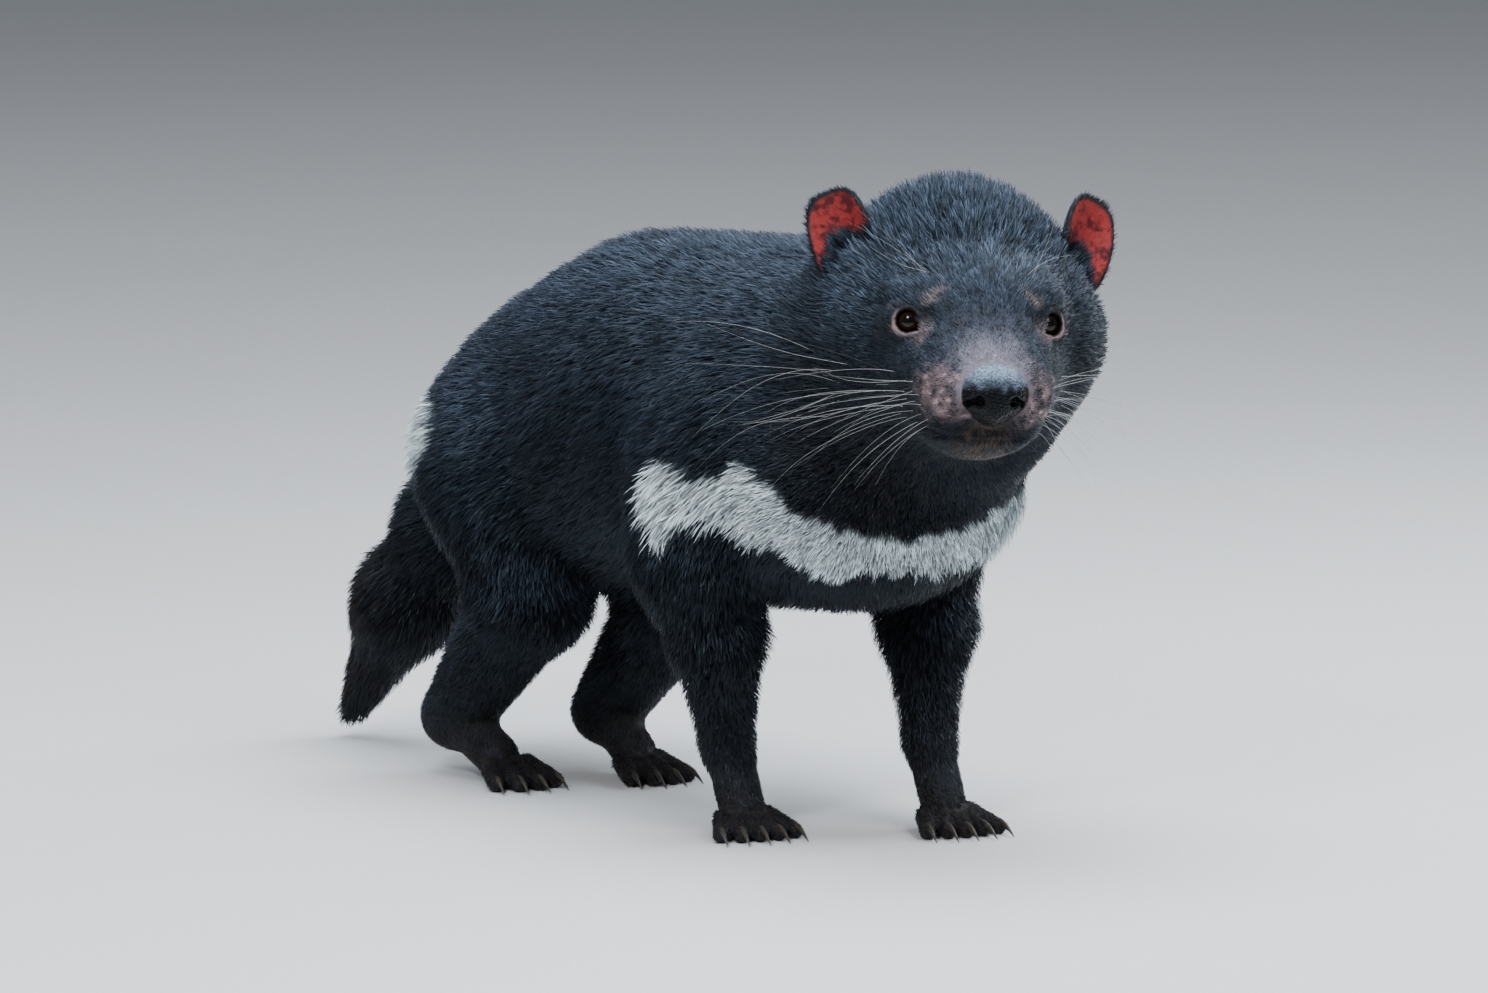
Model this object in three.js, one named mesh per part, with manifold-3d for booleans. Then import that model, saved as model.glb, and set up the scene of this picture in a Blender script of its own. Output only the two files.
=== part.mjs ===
// Tasmanian devil, life size, standing still with its head turned to its right.
// Millimetres, +X forward, +Y the animal's left, +Z up, floor at Z = 0.
// The solids follow the outer surface of the short coat.
import * as THREE from "three";
import { mergeVertices } from "three/addons/utils/BufferGeometryUtils.js";
import Module from "manifold-3d";

const wasm = await Module();
wasm.setup();

// Driving dimensions of the animal.
const SHOULDER_HEIGHT = 308;
const CHEST_HALF_WIDTH = 82;
const BELLY_HALF_WIDTH = 76;
const RUMP_HALF_WIDTH = 73;
const HEAD_CENTRE = [212, 4, 283];
const HEAD_YAW = -28;
const HEAD_ROLL = -2.5;
const EYE_RADIUS = 8.3;
const EYE_SPREAD = 33.4;
const LID_THICKNESS = 1.5;
const EAR_HEIGHT = 51;
const EAR_HALF_WIDTH = 17;
const NOSE_HALF_WIDTH = 15.5;
const FRONT_TOES = { count: 5, reach: 27, spread: 20.5, radius: 4.9 };
const HIND_TOES = { count: 4, reach: 33, spread: 17, radius: 5.3 };
const CLAW_LENGTH = 15;
const CLAW_RADIUS = 2.3;
const GAP = 0.3;

// Coat and skin colours.
const COLOURS = {
  coat: 0x17181c,
  coatBrown: 0x1f1917,
  nose: 0x0c0c0e,
  eye: 0x1a0f0a,
  ear: 0x7a3034,
  claw: 0x2b2522,
  paw: 0x241f20,
};

const radians = (degrees) => (degrees * Math.PI) / 180;

// Rows of a rotation: yaw about Z, then nose-down pitch about Y, then roll about X.
function turn(yaw = 0, pitch = 0, roll = 0) {
  const euler = new THREE.Euler(radians(roll), radians(pitch), radians(yaw), "ZYX");
  const e = new THREE.Matrix4().makeRotationFromEuler(euler).elements;
  return [
    [e[0], e[4], e[8]],
    [e[1], e[5], e[9]],
    [e[2], e[6], e[10]],
  ];
}

// Signed distance to an egg of three radii, good close to its surface.
function egg(at, radii, blend, tilt = [0, 0, 0]) {
  const m = turn(...tilt);
  const distance = (x, y, z) => {
    const dx = x - at[0];
    const dy = y - at[1];
    const dz = z - at[2];
    const u = (m[0][0] * dx + m[1][0] * dy + m[2][0] * dz) / radii[0];
    const v = (m[0][1] * dx + m[1][1] * dy + m[2][1] * dz) / radii[1];
    const w = (m[0][2] * dx + m[1][2] * dy + m[2][2] * dz) / radii[2];
    const size = Math.hypot(u, v, w);
    const slope = Math.hypot(u / radii[0], v / radii[1], w / radii[2]) + 1e-9;
    return (size * (size - 1)) / slope;
  };
  return { distance, blend };
}

// Signed distance to a round-ended taper between two balls.
function taper(from, to, fromRadius, toRadius, blend) {
  const axis = to.map((value, i) => value - from[i]);
  const length2 = axis[0] ** 2 + axis[1] ** 2 + axis[2] ** 2;
  const drop = fromRadius - toRadius;
  const side2 = length2 - drop * drop;
  const distance = (x, y, z) => {
    const p = [x - from[0], y - from[1], z - from[2]];
    const along = p[0] * axis[0] + p[1] * axis[1] + p[2] * axis[2];
    const past = along - length2;
    let off2 = 0;
    for (let i = 0; i < 3; i += 1) off2 += (p[i] * length2 - axis[i] * along) ** 2;
    const cone = Math.sign(drop) * drop * drop * off2;
    if (Math.sign(past) * side2 * past * past * length2 > cone) {
      return Math.sqrt(off2 + past * past * length2) / length2 - toRadius;
    }
    if (Math.sign(along) * side2 * along * along * length2 < cone) {
      return Math.sqrt(off2 + along * along * length2) / length2 - fromRadius;
    }
    return (Math.sqrt((off2 * side2) / length2) + along * drop) / length2 - fromRadius;
  };
  return { distance, blend };
}

const blendJoin = (a, b, blend) => {
  const near = Math.max(blend - Math.abs(a - b), 0) / blend;
  return Math.min(a, b) - (near * near * blend) / 4;
};

// One distance for a list of forms, each melted into those before it.
const melt = (forms) => (x, y, z) => {
  let total = forms[0].distance(x, y, z);
  for (let i = 1; i < forms.length; i += 1) {
    total = blendJoin(total, forms[i].distance(x, y, z), forms[i].blend);
  }
  return total;
};

const onBothSides = (make) => [make(1), make(-1)];

// Trunk: deep chest, level belly and a rump that falls away to the tail.
const trunk = melt([
  egg([60, 0, SHOULDER_HEIGHT - 95], [104, CHEST_HALF_WIDTH - 2, 98], 30),
  egg([-18, 0, 210], [110, BELLY_HALF_WIDTH, 98], 30),
  egg([-95, 0, 190], [91, RUMP_HALF_WIDTH, 84], 30),
  ...onBothSides((side) => egg([-118, side * 37, 178], [63, 44, 54], 24)),
]);

const neck = melt([
  taper([118, 6, 212], [184, 13, 250], CHEST_HALF_WIDTH + 2, 73, 34),
  egg([148, 10, 182], [52, 77, 58], 30),
  egg([150, 4, 268], [60, 56, 50], 30),
]);

// Head, in its own frame: origin between the ears at the height of the eyes.
const EYE_CENTRE = (side) => [52.4, side * EYE_SPREAD, -1];
const EYE_AXIS = (side) => new THREE.Vector3(0.91, side * 0.38, 0.14).normalize();
const LID_RADIUS = EYE_RADIUS + GAP + LID_THICKNESS;

const headForms = melt([
  egg([-8, 0, 12], [56, 57, 51], 20),
  taper([-4, 0, 20], [50, 0, -2], 40, 29, 16),
  ...onBothSides((side) => egg([3, side * 37, -12], [49, 39, 43], 20, [side * -8, 0, 0])),
  taper([40, 0, -2], [90, 0, -29], 31, 14, 16),
  egg([58, 0, -27], [45, 37, 27], 20),
  ...onBothSides((side) => taper([18, side * 30, -24], [72, side * 14, -33], 29, 17, 16)),
  ...onBothSides((side) => egg([83, side * 14, -34], [20, 17.5, 17.5], 10)),
  egg([52, 0, -50], [42, 29, 18], 10),
  ...onBothSides((side) => egg([45, side * 26, 12], [15, 14, 9], 18, [0, 25, 0])),
  ...onBothSides((side) => egg(EYE_CENTRE(side), [LID_RADIUS, LID_RADIUS, LID_RADIUS], 6)),
]);

const headTurn = turn(HEAD_YAW, 0, HEAD_ROLL);
const toHead = (x, y, z) => {
  const p = [x - HEAD_CENTRE[0], y - HEAD_CENTRE[1], z - HEAD_CENTRE[2]];
  return [0, 1, 2].map((i) => headTurn[0][i] * p[0] + headTurn[1][i] * p[1] + headTurn[2][i] * p[2]);
};
const fromHead = ([x, y, z]) =>
  [0, 1, 2].map((i) => HEAD_CENTRE[i] + headTurn[i][0] * x + headTurn[i][1] * y + headTurn[i][2] * z);

const head = (x, y, z) => headForms(...toHead(x, y, z));

// Legs. Each is a shoulder or thigh, two bones and a paw with its toes.
function toeForms({ at, heading, count, reach, spread, radius }) {
  const ahead = [Math.cos(radians(heading)), Math.sin(radians(heading))];
  const across = [-ahead[1], ahead[0]];
  const forms = [];
  for (let i = 0; i < count; i += 1) {
    const place = (2 * i) / (count - 1) - 1;
    const length = reach * (1 - 0.16 * place * place);
    const root = [0, 1].map((k) => at[k] + across[k] * place * spread * 0.6 + ahead[k] * 4);
    const tip = [0, 1].map((k) => at[k] + across[k] * place * spread + ahead[k] * length);
    const knuckle = [...root, radius + 4];
    const end = [...tip, radius - 1];
    forms.push({ ...taper(knuckle, end, radius + 1.4, radius, 2.5), end, ahead, across, place, radius });
  }
  return forms;
}

function frontLeg(side, { shoulderX, shoulderY, elbow, wrist, paw, heading }) {
  const toes = toeForms({ at: paw, heading, ...FRONT_TOES });
  const limb = [
    egg([shoulderX, side * shoulderY, 186], [46, 30, 72], 24, [0, 8, side * 6]),
    taper([shoulderX - 2, side * (shoulderY - 2), 150], elbow, 35, 28, 20),
    taper(elbow, wrist, 27, 15, 12),
    taper(wrist, [paw[0] - 1, paw[1], 14], 13.5, 12.5, 8),
  ];
  return { toes, surface: melt([...limb, ...toes]) };
}

function hindLeg({ hip, knee, hock, ball, paw, heading }) {
  const toes = toeForms({ at: paw, heading, ...HIND_TOES });
  const limb = [
    taper(hip, knee, 52, 34, 24),
    taper(knee, hock, 33, 20, 14),
    taper(hock, ball, 14, 12.5, 8),
  ];
  const aboveHock = 0.28;
  const point = hock.map((value, i) => value + aboveHock * (knee[i] - value));
  const hockCut = { point, normal: [0.3, 0, 0.95] };
  return { toes, hockCut, surface: melt([...limb, ...toes]) };
}

const legs = {
  front_right: frontLeg(-1, {
    shoulderX: 84, shoulderY: 62, elbow: [86, -52, 108], wrist: [77, -38, 46], paw: [88, -36], heading: -18,
  }),
  front_left: frontLeg(1, {
    shoulderX: 112, shoulderY: 64, elbow: [123, 59, 108], wrist: [130, 55, 46], paw: [144, 54], heading: -14,
  }),
  hind_right: hindLeg({
    hip: [-112, -36, 165], knee: [-84, -46, 108], hock: [-157, -44, 33], ball: [-122, -42, 14],
    paw: [-116, -40], heading: -14,
  }),
  hind_left: hindLeg({
    hip: [-104, 36, 160], knee: [-62, 38, 104], hock: [-119, 30, 33], ball: [-90, 27, 14],
    paw: [-86, 26], heading: -10,
  }),
};

// Tail: a stout cone, fat at its root, hanging down and back clear of the floor.
const TAIL_BEND = [-209, -4, 128];
const tail = melt([
  taper([-166, 0, 168], TAIL_BEND, 41, 33, 30),
  taper(TAIL_BEND, [-245, -12, 84], 33, 29, 20),
  taper([-245, -12, 84], [-284, -20, 21], 29, 11, 20),
]);

function body(x, y, z) {
  let total = blendJoin(trunk(x, y, z), neck(x, y, z), 40);
  total = blendJoin(total, head(x, y, z), 22);
  for (const leg of Object.values(legs)) total = blendJoin(total, leg.surface(x, y, z), 16);
  return blendJoin(total, tail(x, y, z), 18);
}

// Grid lines from low to high, the step changing at each named place.
function gridLines(...spans) {
  const lines = [spans[0].from];
  for (const { to, step } of spans) {
    const start = lines[lines.length - 1];
    const count = Math.max(1, Math.round((to - start) / step));
    for (let i = 1; i <= count; i += 1) lines.push(start + ((to - start) * i) / count);
  }
  return lines;
}

const evenLines = (from, to, step) => gridLines({ from, to, step });

// Closed mesh of the zero surface of a distance, on a grid of the given lines.
function surfaceMesh(field, xs, ys, zs) {
  const nx = xs.length;
  const ny = ys.length;
  const nz = zs.length;
  const at = (i, j, k) => (i * ny + j) * nz + k;
  const values = new Float64Array(nx * ny * nz).fill(1);
  for (let i = 1; i < nx - 1; i += 1) {
    for (let j = 1; j < ny - 1; j += 1) {
      for (let k = 1; k < nz - 1; k += 1) values[at(i, j, k)] = field(xs[i], ys[j], zs[k]);
    }
  }
  const positions = [];
  const cellVertex = new Map();
  const corner = (n) => [n & 1, (n >> 1) & 1, (n >> 2) & 1];
  const edges = [];
  for (let a = 0; a < 8; a += 1) {
    for (const bit of [1, 2, 4]) if (!(a & bit)) edges.push([a, a | bit]);
  }
  for (let i = 0; i < nx - 1; i += 1) {
    for (let j = 0; j < ny - 1; j += 1) {
      for (let k = 0; k < nz - 1; k += 1) {
        const sum = [0, 0, 0];
        let count = 0;
        for (const [a, b] of edges) {
          const [ai, aj, ak] = corner(a);
          const [bi, bj, bk] = corner(b);
          const va = values[at(i + ai, j + aj, k + ak)];
          const vb = values[at(i + bi, j + bj, k + bk)];
          if (va < 0 === vb < 0) continue;
          const t = va / (va - vb);
          sum[0] += xs[i + ai] + t * (xs[i + bi] - xs[i + ai]);
          sum[1] += ys[j + aj] + t * (ys[j + bj] - ys[j + aj]);
          sum[2] += zs[k + ak] + t * (zs[k + bk] - zs[k + ak]);
          count += 1;
        }
        if (count === 0) continue;
        cellVertex.set(at(i, j, k), positions.length / 3);
        const point = settle(field, sum.map((value) => value / count), [
          xs[i], xs[i + 1], ys[j], ys[j + 1], zs[k], zs[k + 1],
        ]);
        positions.push(...point);
      }
    }
  }
  const triangles = [];
  const shift = [[1, 0, 0], [0, 1, 0], [0, 0, 1]];
  for (let i = 1; i < nx - 1; i += 1) {
    for (let j = 1; j < ny - 1; j += 1) {
      for (let k = 1; k < nz - 1; k += 1) {
        for (let axis = 0; axis < 3; axis += 1) {
          const near = [i, j, k];
          for (const direction of [-1, 1]) {
            const far = near.map((value, n) => value + direction * shift[axis][n]);
            const inside = values[at(...near)] < 0;
            const outside = values[at(...far)] >= 0;
            if (!inside || !outside) continue;
            const low = direction > 0 ? near : far;
            const u = shift[(axis + 1) % 3];
            const v = shift[(axis + 2) % 3];
            const cell = (a, b) => cellVertex.get(at(
              low[0] - a * u[0] - b * v[0],
              low[1] - a * u[1] - b * v[1],
              low[2] - a * u[2] - b * v[2],
            ));
            const quad = [cell(1, 1), cell(0, 1), cell(0, 0), cell(1, 0)];
            if (direction < 0) quad.reverse();
            addQuad(triangles, positions, quad);
          }
        }
      }
    }
  }
  return meshGeometry(positions, triangles);
}

// Moves a point along the slope of the field on to its surface, inside its own cell.
function settle(field, point, limits) {
  const reach = 0.4;
  const p = [...point];
  for (let round = 0; round < 3; round += 1) {
    const value = field(...p);
    const slope = [0, 1, 2].map((n) => {
      const a = [...p];
      const b = [...p];
      a[n] += reach;
      b[n] -= reach;
      return (field(...a) - field(...b)) / (2 * reach);
    });
    const size = slope[0] ** 2 + slope[1] ** 2 + slope[2] ** 2 + 1e-6;
    for (let n = 0; n < 3; n += 1) {
      const moved = p[n] - (value * slope[n]) / size;
      p[n] = Math.min(Math.max(moved, limits[2 * n]), limits[2 * n + 1]);
    }
  }
  return p;
}

// Splits a quad along its shorter diagonal.
function addQuad(triangles, positions, [a, b, c, d]) {
  const gap2 = (m, n) => [0, 1, 2].reduce(
    (sum, i) => sum + (positions[3 * m + i] - positions[3 * n + i]) ** 2, 0,
  );
  if (gap2(a, c) <= gap2(b, d)) triangles.push(a, b, c, a, c, d);
  else triangles.push(a, b, d, b, c, d);
}

// Sum of squared distances to planes, as the ten numbers of a symmetric form, and its weight.
function addPlane(form, normal, offset, weight) {
  const n = [normal.x, normal.y, normal.z, offset];
  let place = 0;
  for (let i = 0; i < 4; i += 1) {
    for (let j = i; j < 4; j += 1) {
      form[place] += weight * n[i] * n[j];
      place += 1;
    }
  }
  form[10] += weight;
}

const meanError = (q, p) =>
  (q[0] * p.x * p.x + 2 * q[1] * p.x * p.y + 2 * q[2] * p.x * p.z + 2 * q[3] * p.x
    + q[4] * p.y * p.y + 2 * q[5] * p.y * p.z + 2 * q[6] * p.y
    + q[7] * p.z * p.z + 2 * q[8] * p.z + q[9]) / q[10];

// The point of least error, or the middle of the edge where that is ill placed.
function bestPoint(q, from, to) {
  const middle = from.clone().lerp(to, 0.5);
  const m = new THREE.Matrix3().set(q[0], q[1], q[2], q[1], q[4], q[5], q[2], q[5], q[7]);
  if (Math.abs(m.determinant()) < 1e-9 * q[10] ** 3) return middle;
  const point = new THREE.Vector3(-q[3], -q[6], -q[8]).applyMatrix3(m.invert());
  return point.distanceTo(middle) < from.distanceTo(to) ? point : middle;
}

// Fewer, larger triangles on a closed surface, moved by about the tolerance at most.
const SLIVER = 0.02;
function thinned(geometry, tolerance) {
  const source = geometry.attributes.position;
  const points = [];
  for (let i = 0; i < source.count; i += 1) points.push(new THREE.Vector3().fromBufferAttribute(source, i));
  const faces = [];
  for (let i = 0; i < geometry.index.count; i += 3) faces.push([0, 1, 2].map((k) => geometry.index.array[i + k]));
  const around = points.map(() => new Set());
  faces.forEach((face, i) => face.forEach((p) => around[p].add(i)));
  const forms = points.map(() => new Float64Array(11));
  const cross = (a, b, c) => b.clone().sub(a).cross(c.clone().sub(a));
  for (const face of faces) {
    const normal = cross(...face.map((p) => points[p]));
    const area = normal.length();
    normal.normalize();
    for (const p of face) addPlane(forms[p], normal, -normal.dot(points[face[0]]), area);
  }
  const version = new Uint32Array(points.length);
  const neighbours = (p) => {
    const found = new Set();
    for (const f of around[p]) for (const other of faces[f]) if (other !== p) found.add(other);
    return found;
  };
  const heap = [];
  const sink = (start) => {
    let i = start;
    for (;;) {
      let least = i;
      for (const child of [2 * i + 1, 2 * i + 2]) {
        if (child < heap.length && heap[child].cost < heap[least].cost) least = child;
      }
      if (least === i) return;
      [heap[i], heap[least]] = [heap[least], heap[i]];
      i = least;
    }
  };
  const push = (a, b) => {
    const joined = forms[a].map((value, i) => value + forms[b][i]);
    const point = bestPoint(joined, points[a], points[b]);
    const cost = Math.max(meanError(joined, point), 0) + 1e-4 * tolerance * points[a].distanceTo(points[b]);
    heap.push({ cost, a, b, joined, point, mark: version[a] + version[b] });
    for (let i = heap.length - 1; i > 0;) {
      const parent = (i - 1) >> 1;
      if (heap[parent].cost <= heap[i].cost) break;
      [heap[i], heap[parent]] = [heap[parent], heap[i]];
      i = parent;
    }
  };
  points.forEach((_, a) => neighbours(a).forEach((b) => a < b && push(a, b)));
  const keepsShape = (p, other, point) => [...around[p]].every((f) => {
    if (faces[f].includes(other)) return true;
    const before = cross(...faces[f].map((v) => points[v]));
    const moved = faces[f].map((v) => (v === p ? point : points[v]));
    const after = cross(...moved);
    const longest = Math.max(...moved.map((v, i) => v.distanceToSquared(moved[(i + 1) % 3])));
    return after.dot(before) > 0.6 * after.length() * before.length() && after.length() > 0.16 * longest;
  });
  while (heap.length > 0 && heap[0].cost < tolerance ** 2) {
    const { a, b, joined, point, mark } = heap[0];
    heap[0] = heap[heap.length - 1];
    heap.pop();
    sink(0);
    if (around[a].size === 0 || around[b].size === 0 || mark !== version[a] + version[b]) continue;
    const nearA = neighbours(a);
    const nearB = neighbours(b);
    if (!nearA.has(b)) continue;
    const shared = [...nearA].filter((v) => nearB.has(v));
    if (shared.length !== 2) continue;
    const isTiny = points[a].distanceTo(points[b]) < SLIVER;
    if (!isTiny && !(keepsShape(a, b, point) && keepsShape(b, a, point))) continue;
    for (const f of [...around[b]]) {
      if (faces[f].includes(a)) {
        for (const v of faces[f]) around[v].delete(f);
      } else {
        faces[f] = faces[f].map((v) => (v === b ? a : v));
        around[a].add(f);
      }
    }
    around[b].clear();
    points[a] = point;
    forms[a] = joined;
    version[a] += 1 + version[b];
    neighbours(a).forEach((v) => push(a, v));
  }
  const kept = faces.filter((face, i) => face.every((v) => around[v].has(i)));
  const renumber = new Map();
  const positions = [];
  for (const v of kept.flat()) {
    if (renumber.has(v)) continue;
    renumber.set(v, positions.length / 3);
    positions.push(points[v].x, points[v].y, points[v].z);
  }
  return meshGeometry(positions, kept.flat().map((v) => renumber.get(v)));
}

function meshGeometry(positions, triangles) {
  const geometry = new THREE.BufferGeometry();
  geometry.setAttribute("position", new THREE.Float32BufferAttribute(positions, 3));
  geometry.setIndex(triangles);
  return geometry;
}

// The same surface moved outward by an amount.
function swollen(geometry, amount) {
  const moved = geometry.clone();
  moved.computeVertexNormals();
  const { position, normal } = moved.attributes;
  for (let i = 0; i < position.count; i += 1) {
    position.setXYZ(
      i,
      position.getX(i) + amount * normal.getX(i),
      position.getY(i) + amount * normal.getY(i),
      position.getZ(i) + amount * normal.getZ(i),
    );
  }
  return moved;
}

// Solids that can be joined and cut.
function solid(geometry) {
  let plain = geometry.clone();
  plain.deleteAttribute("normal");
  plain.deleteAttribute("uv");
  plain = mergeVertices(plain, 1e-4);
  const mesh = new wasm.Mesh({
    numProp: 3,
    vertProperties: new Float32Array(plain.attributes.position.array),
    triVerts: new Uint32Array(plain.index.array),
  });
  return new wasm.Manifold(mesh);
}

const largest = (shape) => shape.decompose().reduce(
  (best, piece) => (piece.volume() > best.volume() ? piece : best),
);

function geometryOf(shape) {
  const mesh = shape.getMesh();
  return meshGeometry(Array.from(mesh.vertProperties), Array.from(mesh.triVerts));
}

function block([x0, x1], [y0, y1], [z0, z1]) {
  const box = new THREE.BoxGeometry(x1 - x0, y1 - y0, z1 - z0);
  box.translate((x0 + x1) / 2, (y0 + y1) / 2, (z0 + z1) / 2);
  return box;
}

// Everything on the side of a plane that its normal points to.
const HALF_SIZE = 900;
function halfSpace(point, normal, setBack = 0) {
  const direction = new THREE.Vector3(...normal).normalize();
  const box = block([setBack, HALF_SIZE], [-HALF_SIZE, HALF_SIZE], [-HALF_SIZE, HALF_SIZE]);
  box.applyQuaternion(new THREE.Quaternion().setFromUnitVectors(new THREE.Vector3(1, 0, 0), direction));
  box.translate(...point);
  return solid(box);
}
const ahead = (cut) => halfSpace(cut.point, cut.normal, GAP / 2);
const behind = (cut) => halfSpace(cut.point, cut.normal.map((value) => -value), GAP / 2);

// The parting cuts between neighbouring nodes.
const headAxis = (x, y, z) => [0, 1, 2].map(
  (i) => headTurn[i][0] * x + headTurn[i][1] * y + headTurn[i][2] * z,
);
const CUTS = {
  neckRoot: { point: [134, 6, 224], normal: [0.86, 0.05, 0.51] },
  headRoot: { point: fromHead([-28, 0, 0]), normal: headAxis(0.952, 0, 0.305) },
  tailRoot: { point: [-196, -3, 140], normal: [0.66, 0.06, 0.75] },
  tailMiddle: { point: [-250, -11, 84], normal: [0.64, 0.12, 0.76] },
  elbows: { point: [0, 0, 96], normal: [0, 0, 1] },
  wrists: { point: [0, 0, 37], normal: [0, 0, 1] },
};

// A wedge that holds a shoulder or thigh: its inner face leans out from low to top.
function legWedge({ from, to, lowY, topY, topZ, side }, grow = 0) {
  const outerY = 160;
  const lowZ = CUTS.elbows.point[2] + GAP / 2;
  const slope = (topY - lowY) / (topZ - lowZ);
  const innerY = (z) => lowY + slope * (z - lowZ) - grow * Math.hypot(1, slope);
  const corner = (y, z) => new THREE.Vector2(side * y, z);
  const outline = new THREE.Shape([
    corner(innerY(lowZ - 4 * grow), lowZ - 4 * grow),
    corner(outerY, lowZ - 4 * grow),
    corner(outerY, topZ + grow),
    corner(innerY(topZ + grow), topZ + grow),
  ]);
  const prism = new THREE.ExtrudeGeometry(outline, { depth: to - from + 2 * grow, bevelEnabled: false });
  prism.rotateX(Math.PI / 2);
  prism.rotateZ(Math.PI / 2);
  prism.translate(from - grow, 0, 0);
  return solid(prism);
}
const WEDGES = {
  front_right: { from: 34, to: 132, lowY: 22, topY: 92, topZ: 236, side: -1 },
  front_left: { from: 62, to: 166, lowY: 26, topY: 94, topZ: 236, side: 1 },
  hind_right: { from: -168, to: -36, lowY: 14, topY: 84, topZ: 206, side: -1 },
  hind_left: { from: -160, to: -14, lowY: 12, topY: 84, topZ: 206, side: 1 },
};

const floorUp = solid(block([-600, 600], [-300, 300], [0, 500]));

// Nodes of the model. Each keeps its largest closed surface, less the slivers that a cut leaves.
const nodes = [];
function addNode(name, shape, colour, roughness = 0.85) {
  nodes.push({ name, geometry: thinned(geometryOf(largest(shape)), SLIVER), colour, roughness });
}

// Torso, with a wedge taken out for each shoulder and thigh.
const COAT_TOLERANCE = 0.45;
const fleshSolid = (xs, ys, zs, tolerance = COAT_TOLERANCE) => (
  solid(thinned(surfaceMesh(body, xs, ys, zs), tolerance))
);
const wholeTrunk = fleshSolid(evenLines(-235, 212, 9.5), evenLines(-112, 112, 9.5), evenLines(80, 326, 9.5));
const torsoBlank = wholeTrunk
  .intersect(behind(CUTS.neckRoot))
  .intersect(ahead(CUTS.tailRoot))
  .intersect(ahead(CUTS.elbows));
const torso = Object.values(WEDGES).reduce((shape, wedge) => shape.subtract(legWedge(wedge, GAP)), torsoBlank);
addNode("torso", torso, COLOURS.coat);

const neckBlank = fleshSolid(evenLines(58, 250, 8.5), evenLines(-100, 100, 8.5), evenLines(115, 345, 8.5));
addNode("neck", neckBlank.intersect(ahead(CUTS.neckRoot)).intersect(behind(CUTS.headRoot)), COLOURS.coat);

const tailBlank = fleshSolid(evenLines(-316, -120, 7), evenLines(-60, 48, 7), evenLines(-3, 205, 7), 0.35);
const tailBase = tailBlank.intersect(behind(CUTS.tailRoot)).intersect(ahead(CUTS.tailMiddle));
addNode("tail_base", tailBase, COLOURS.coatBrown);
addNode("tail_tip", tailBlank.intersect(behind(CUTS.tailMiddle)), COLOURS.coatBrown);

// Legs. The paw stands on flats at Z = 0.
const LEG_ROOM = {
  front_right: { x: [30, 124], y: [-104, -4] },
  front_left: { x: [86, 184], y: [22, 108] },
  hind_right: { x: [-196, -32], y: [-98, -11] },
  hind_left: { x: [-166, -10], y: [0, 92] },
};

function bentClaw(toe) {
  const rings = 5;
  const sides = 6;
  const positions = [];
  const triangles = [];
  const splay = toe.place * 0.12;
  const run = [toe.ahead[0] + toe.across[0] * splay, toe.ahead[1] + toe.across[1] * splay];
  const rootBack = 4;
  for (let i = 0; i <= rings; i += 1) {
    const t = i / rings;
    const out = t * (CLAW_LENGTH + rootBack) - rootBack;
    const height = toe.end[2] + 3 * Math.sin(Math.PI * (0.25 + 0.62 * t)) - 4.5 * t * t;
    const radius = CLAW_RADIUS * (1 - 0.86 * t * t) - 0.05;
    for (let k = 0; k < sides; k += 1) {
      const angle = (2 * Math.PI * k) / sides;
      const sideways = 0.72 * radius * Math.cos(angle);
      positions.push(
        toe.end[0] + run[0] * out + toe.across[0] * sideways,
        toe.end[1] + run[1] * out + toe.across[1] * sideways,
        height + radius * Math.sin(angle),
      );
    }
  }
  for (let i = 0; i < rings; i += 1) {
    for (let k = 0; k < sides; k += 1) {
      const a = i * sides + k;
      const b = i * sides + ((k + 1) % sides);
      addQuad(triangles, positions, [a, b, b + sides, a + sides]);
    }
  }
  for (let k = 1; k < sides - 1; k += 1) {
    const last = rings * sides;
    triangles.push(0, k + 1, k, last, last + k, last + k + 1);
  }
  return solid(meshGeometry(positions, triangles));
}

for (const [name, leg] of Object.entries(legs)) {
  const room = LEG_ROOM[name];
  const isHind = name.startsWith("hind");
  const wedge = WEDGES[name];
  const upperBlank = fleshSolid(
    evenLines(wedge.from - 14, wedge.to + 14, 8),
    evenLines(...(wedge.side < 0 ? [-112, 8] : [-8, 112]), 8),
    evenLines(78, wedge.topZ + 16, 8),
  );
  const upper = upperBlank.intersect(legWedge(wedge))
    .intersect(ahead(CUTS.tailRoot)).intersect(behind(CUTS.neckRoot));
  addNode(`${name}_upper`, upper, COLOURS.coat);

  const ankle = isHind ? leg.hockCut : CUTS.wrists;
  const lowerBlank = fleshSolid(
    evenLines(...room.x, 5.5), evenLines(...room.y, 5.5), evenLines(16, 112, 5.5), 0.3,
  );
  addNode(`${name}_lower`, lowerBlank.intersect(behind(CUTS.elbows)).intersect(ahead(ankle)), COLOURS.coat);

  const step = 2.6;
  const toeEnd = Math.max(...leg.toes.map((toe) => toe.end[0]));
  const pawSurface = thinned(surfaceMesh(
    body,
    gridLines({ from: room.x[0], to: toeEnd - 30, step: 5 }, { to: toeEnd + 12, step }),
    evenLines(...room.y, step),
    gridLines({ from: -7, to: 16, step }, { to: isHind ? 84 : 46, step: 5 }),
  ), 0.22);
  addNode(`${name}_paw`, solid(pawSurface).intersect(behind(ankle)).intersect(floorUp), COLOURS.paw);
  const clearOfPaw = solid(swollen(pawSurface, GAP));
  leg.toes.forEach((toe, i) => {
    addNode(`${name}_claw_${i + 1}`, bentClaw(toe).subtract(clearOfPaw), COLOURS.claw, 0.5);
  });
}

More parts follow.
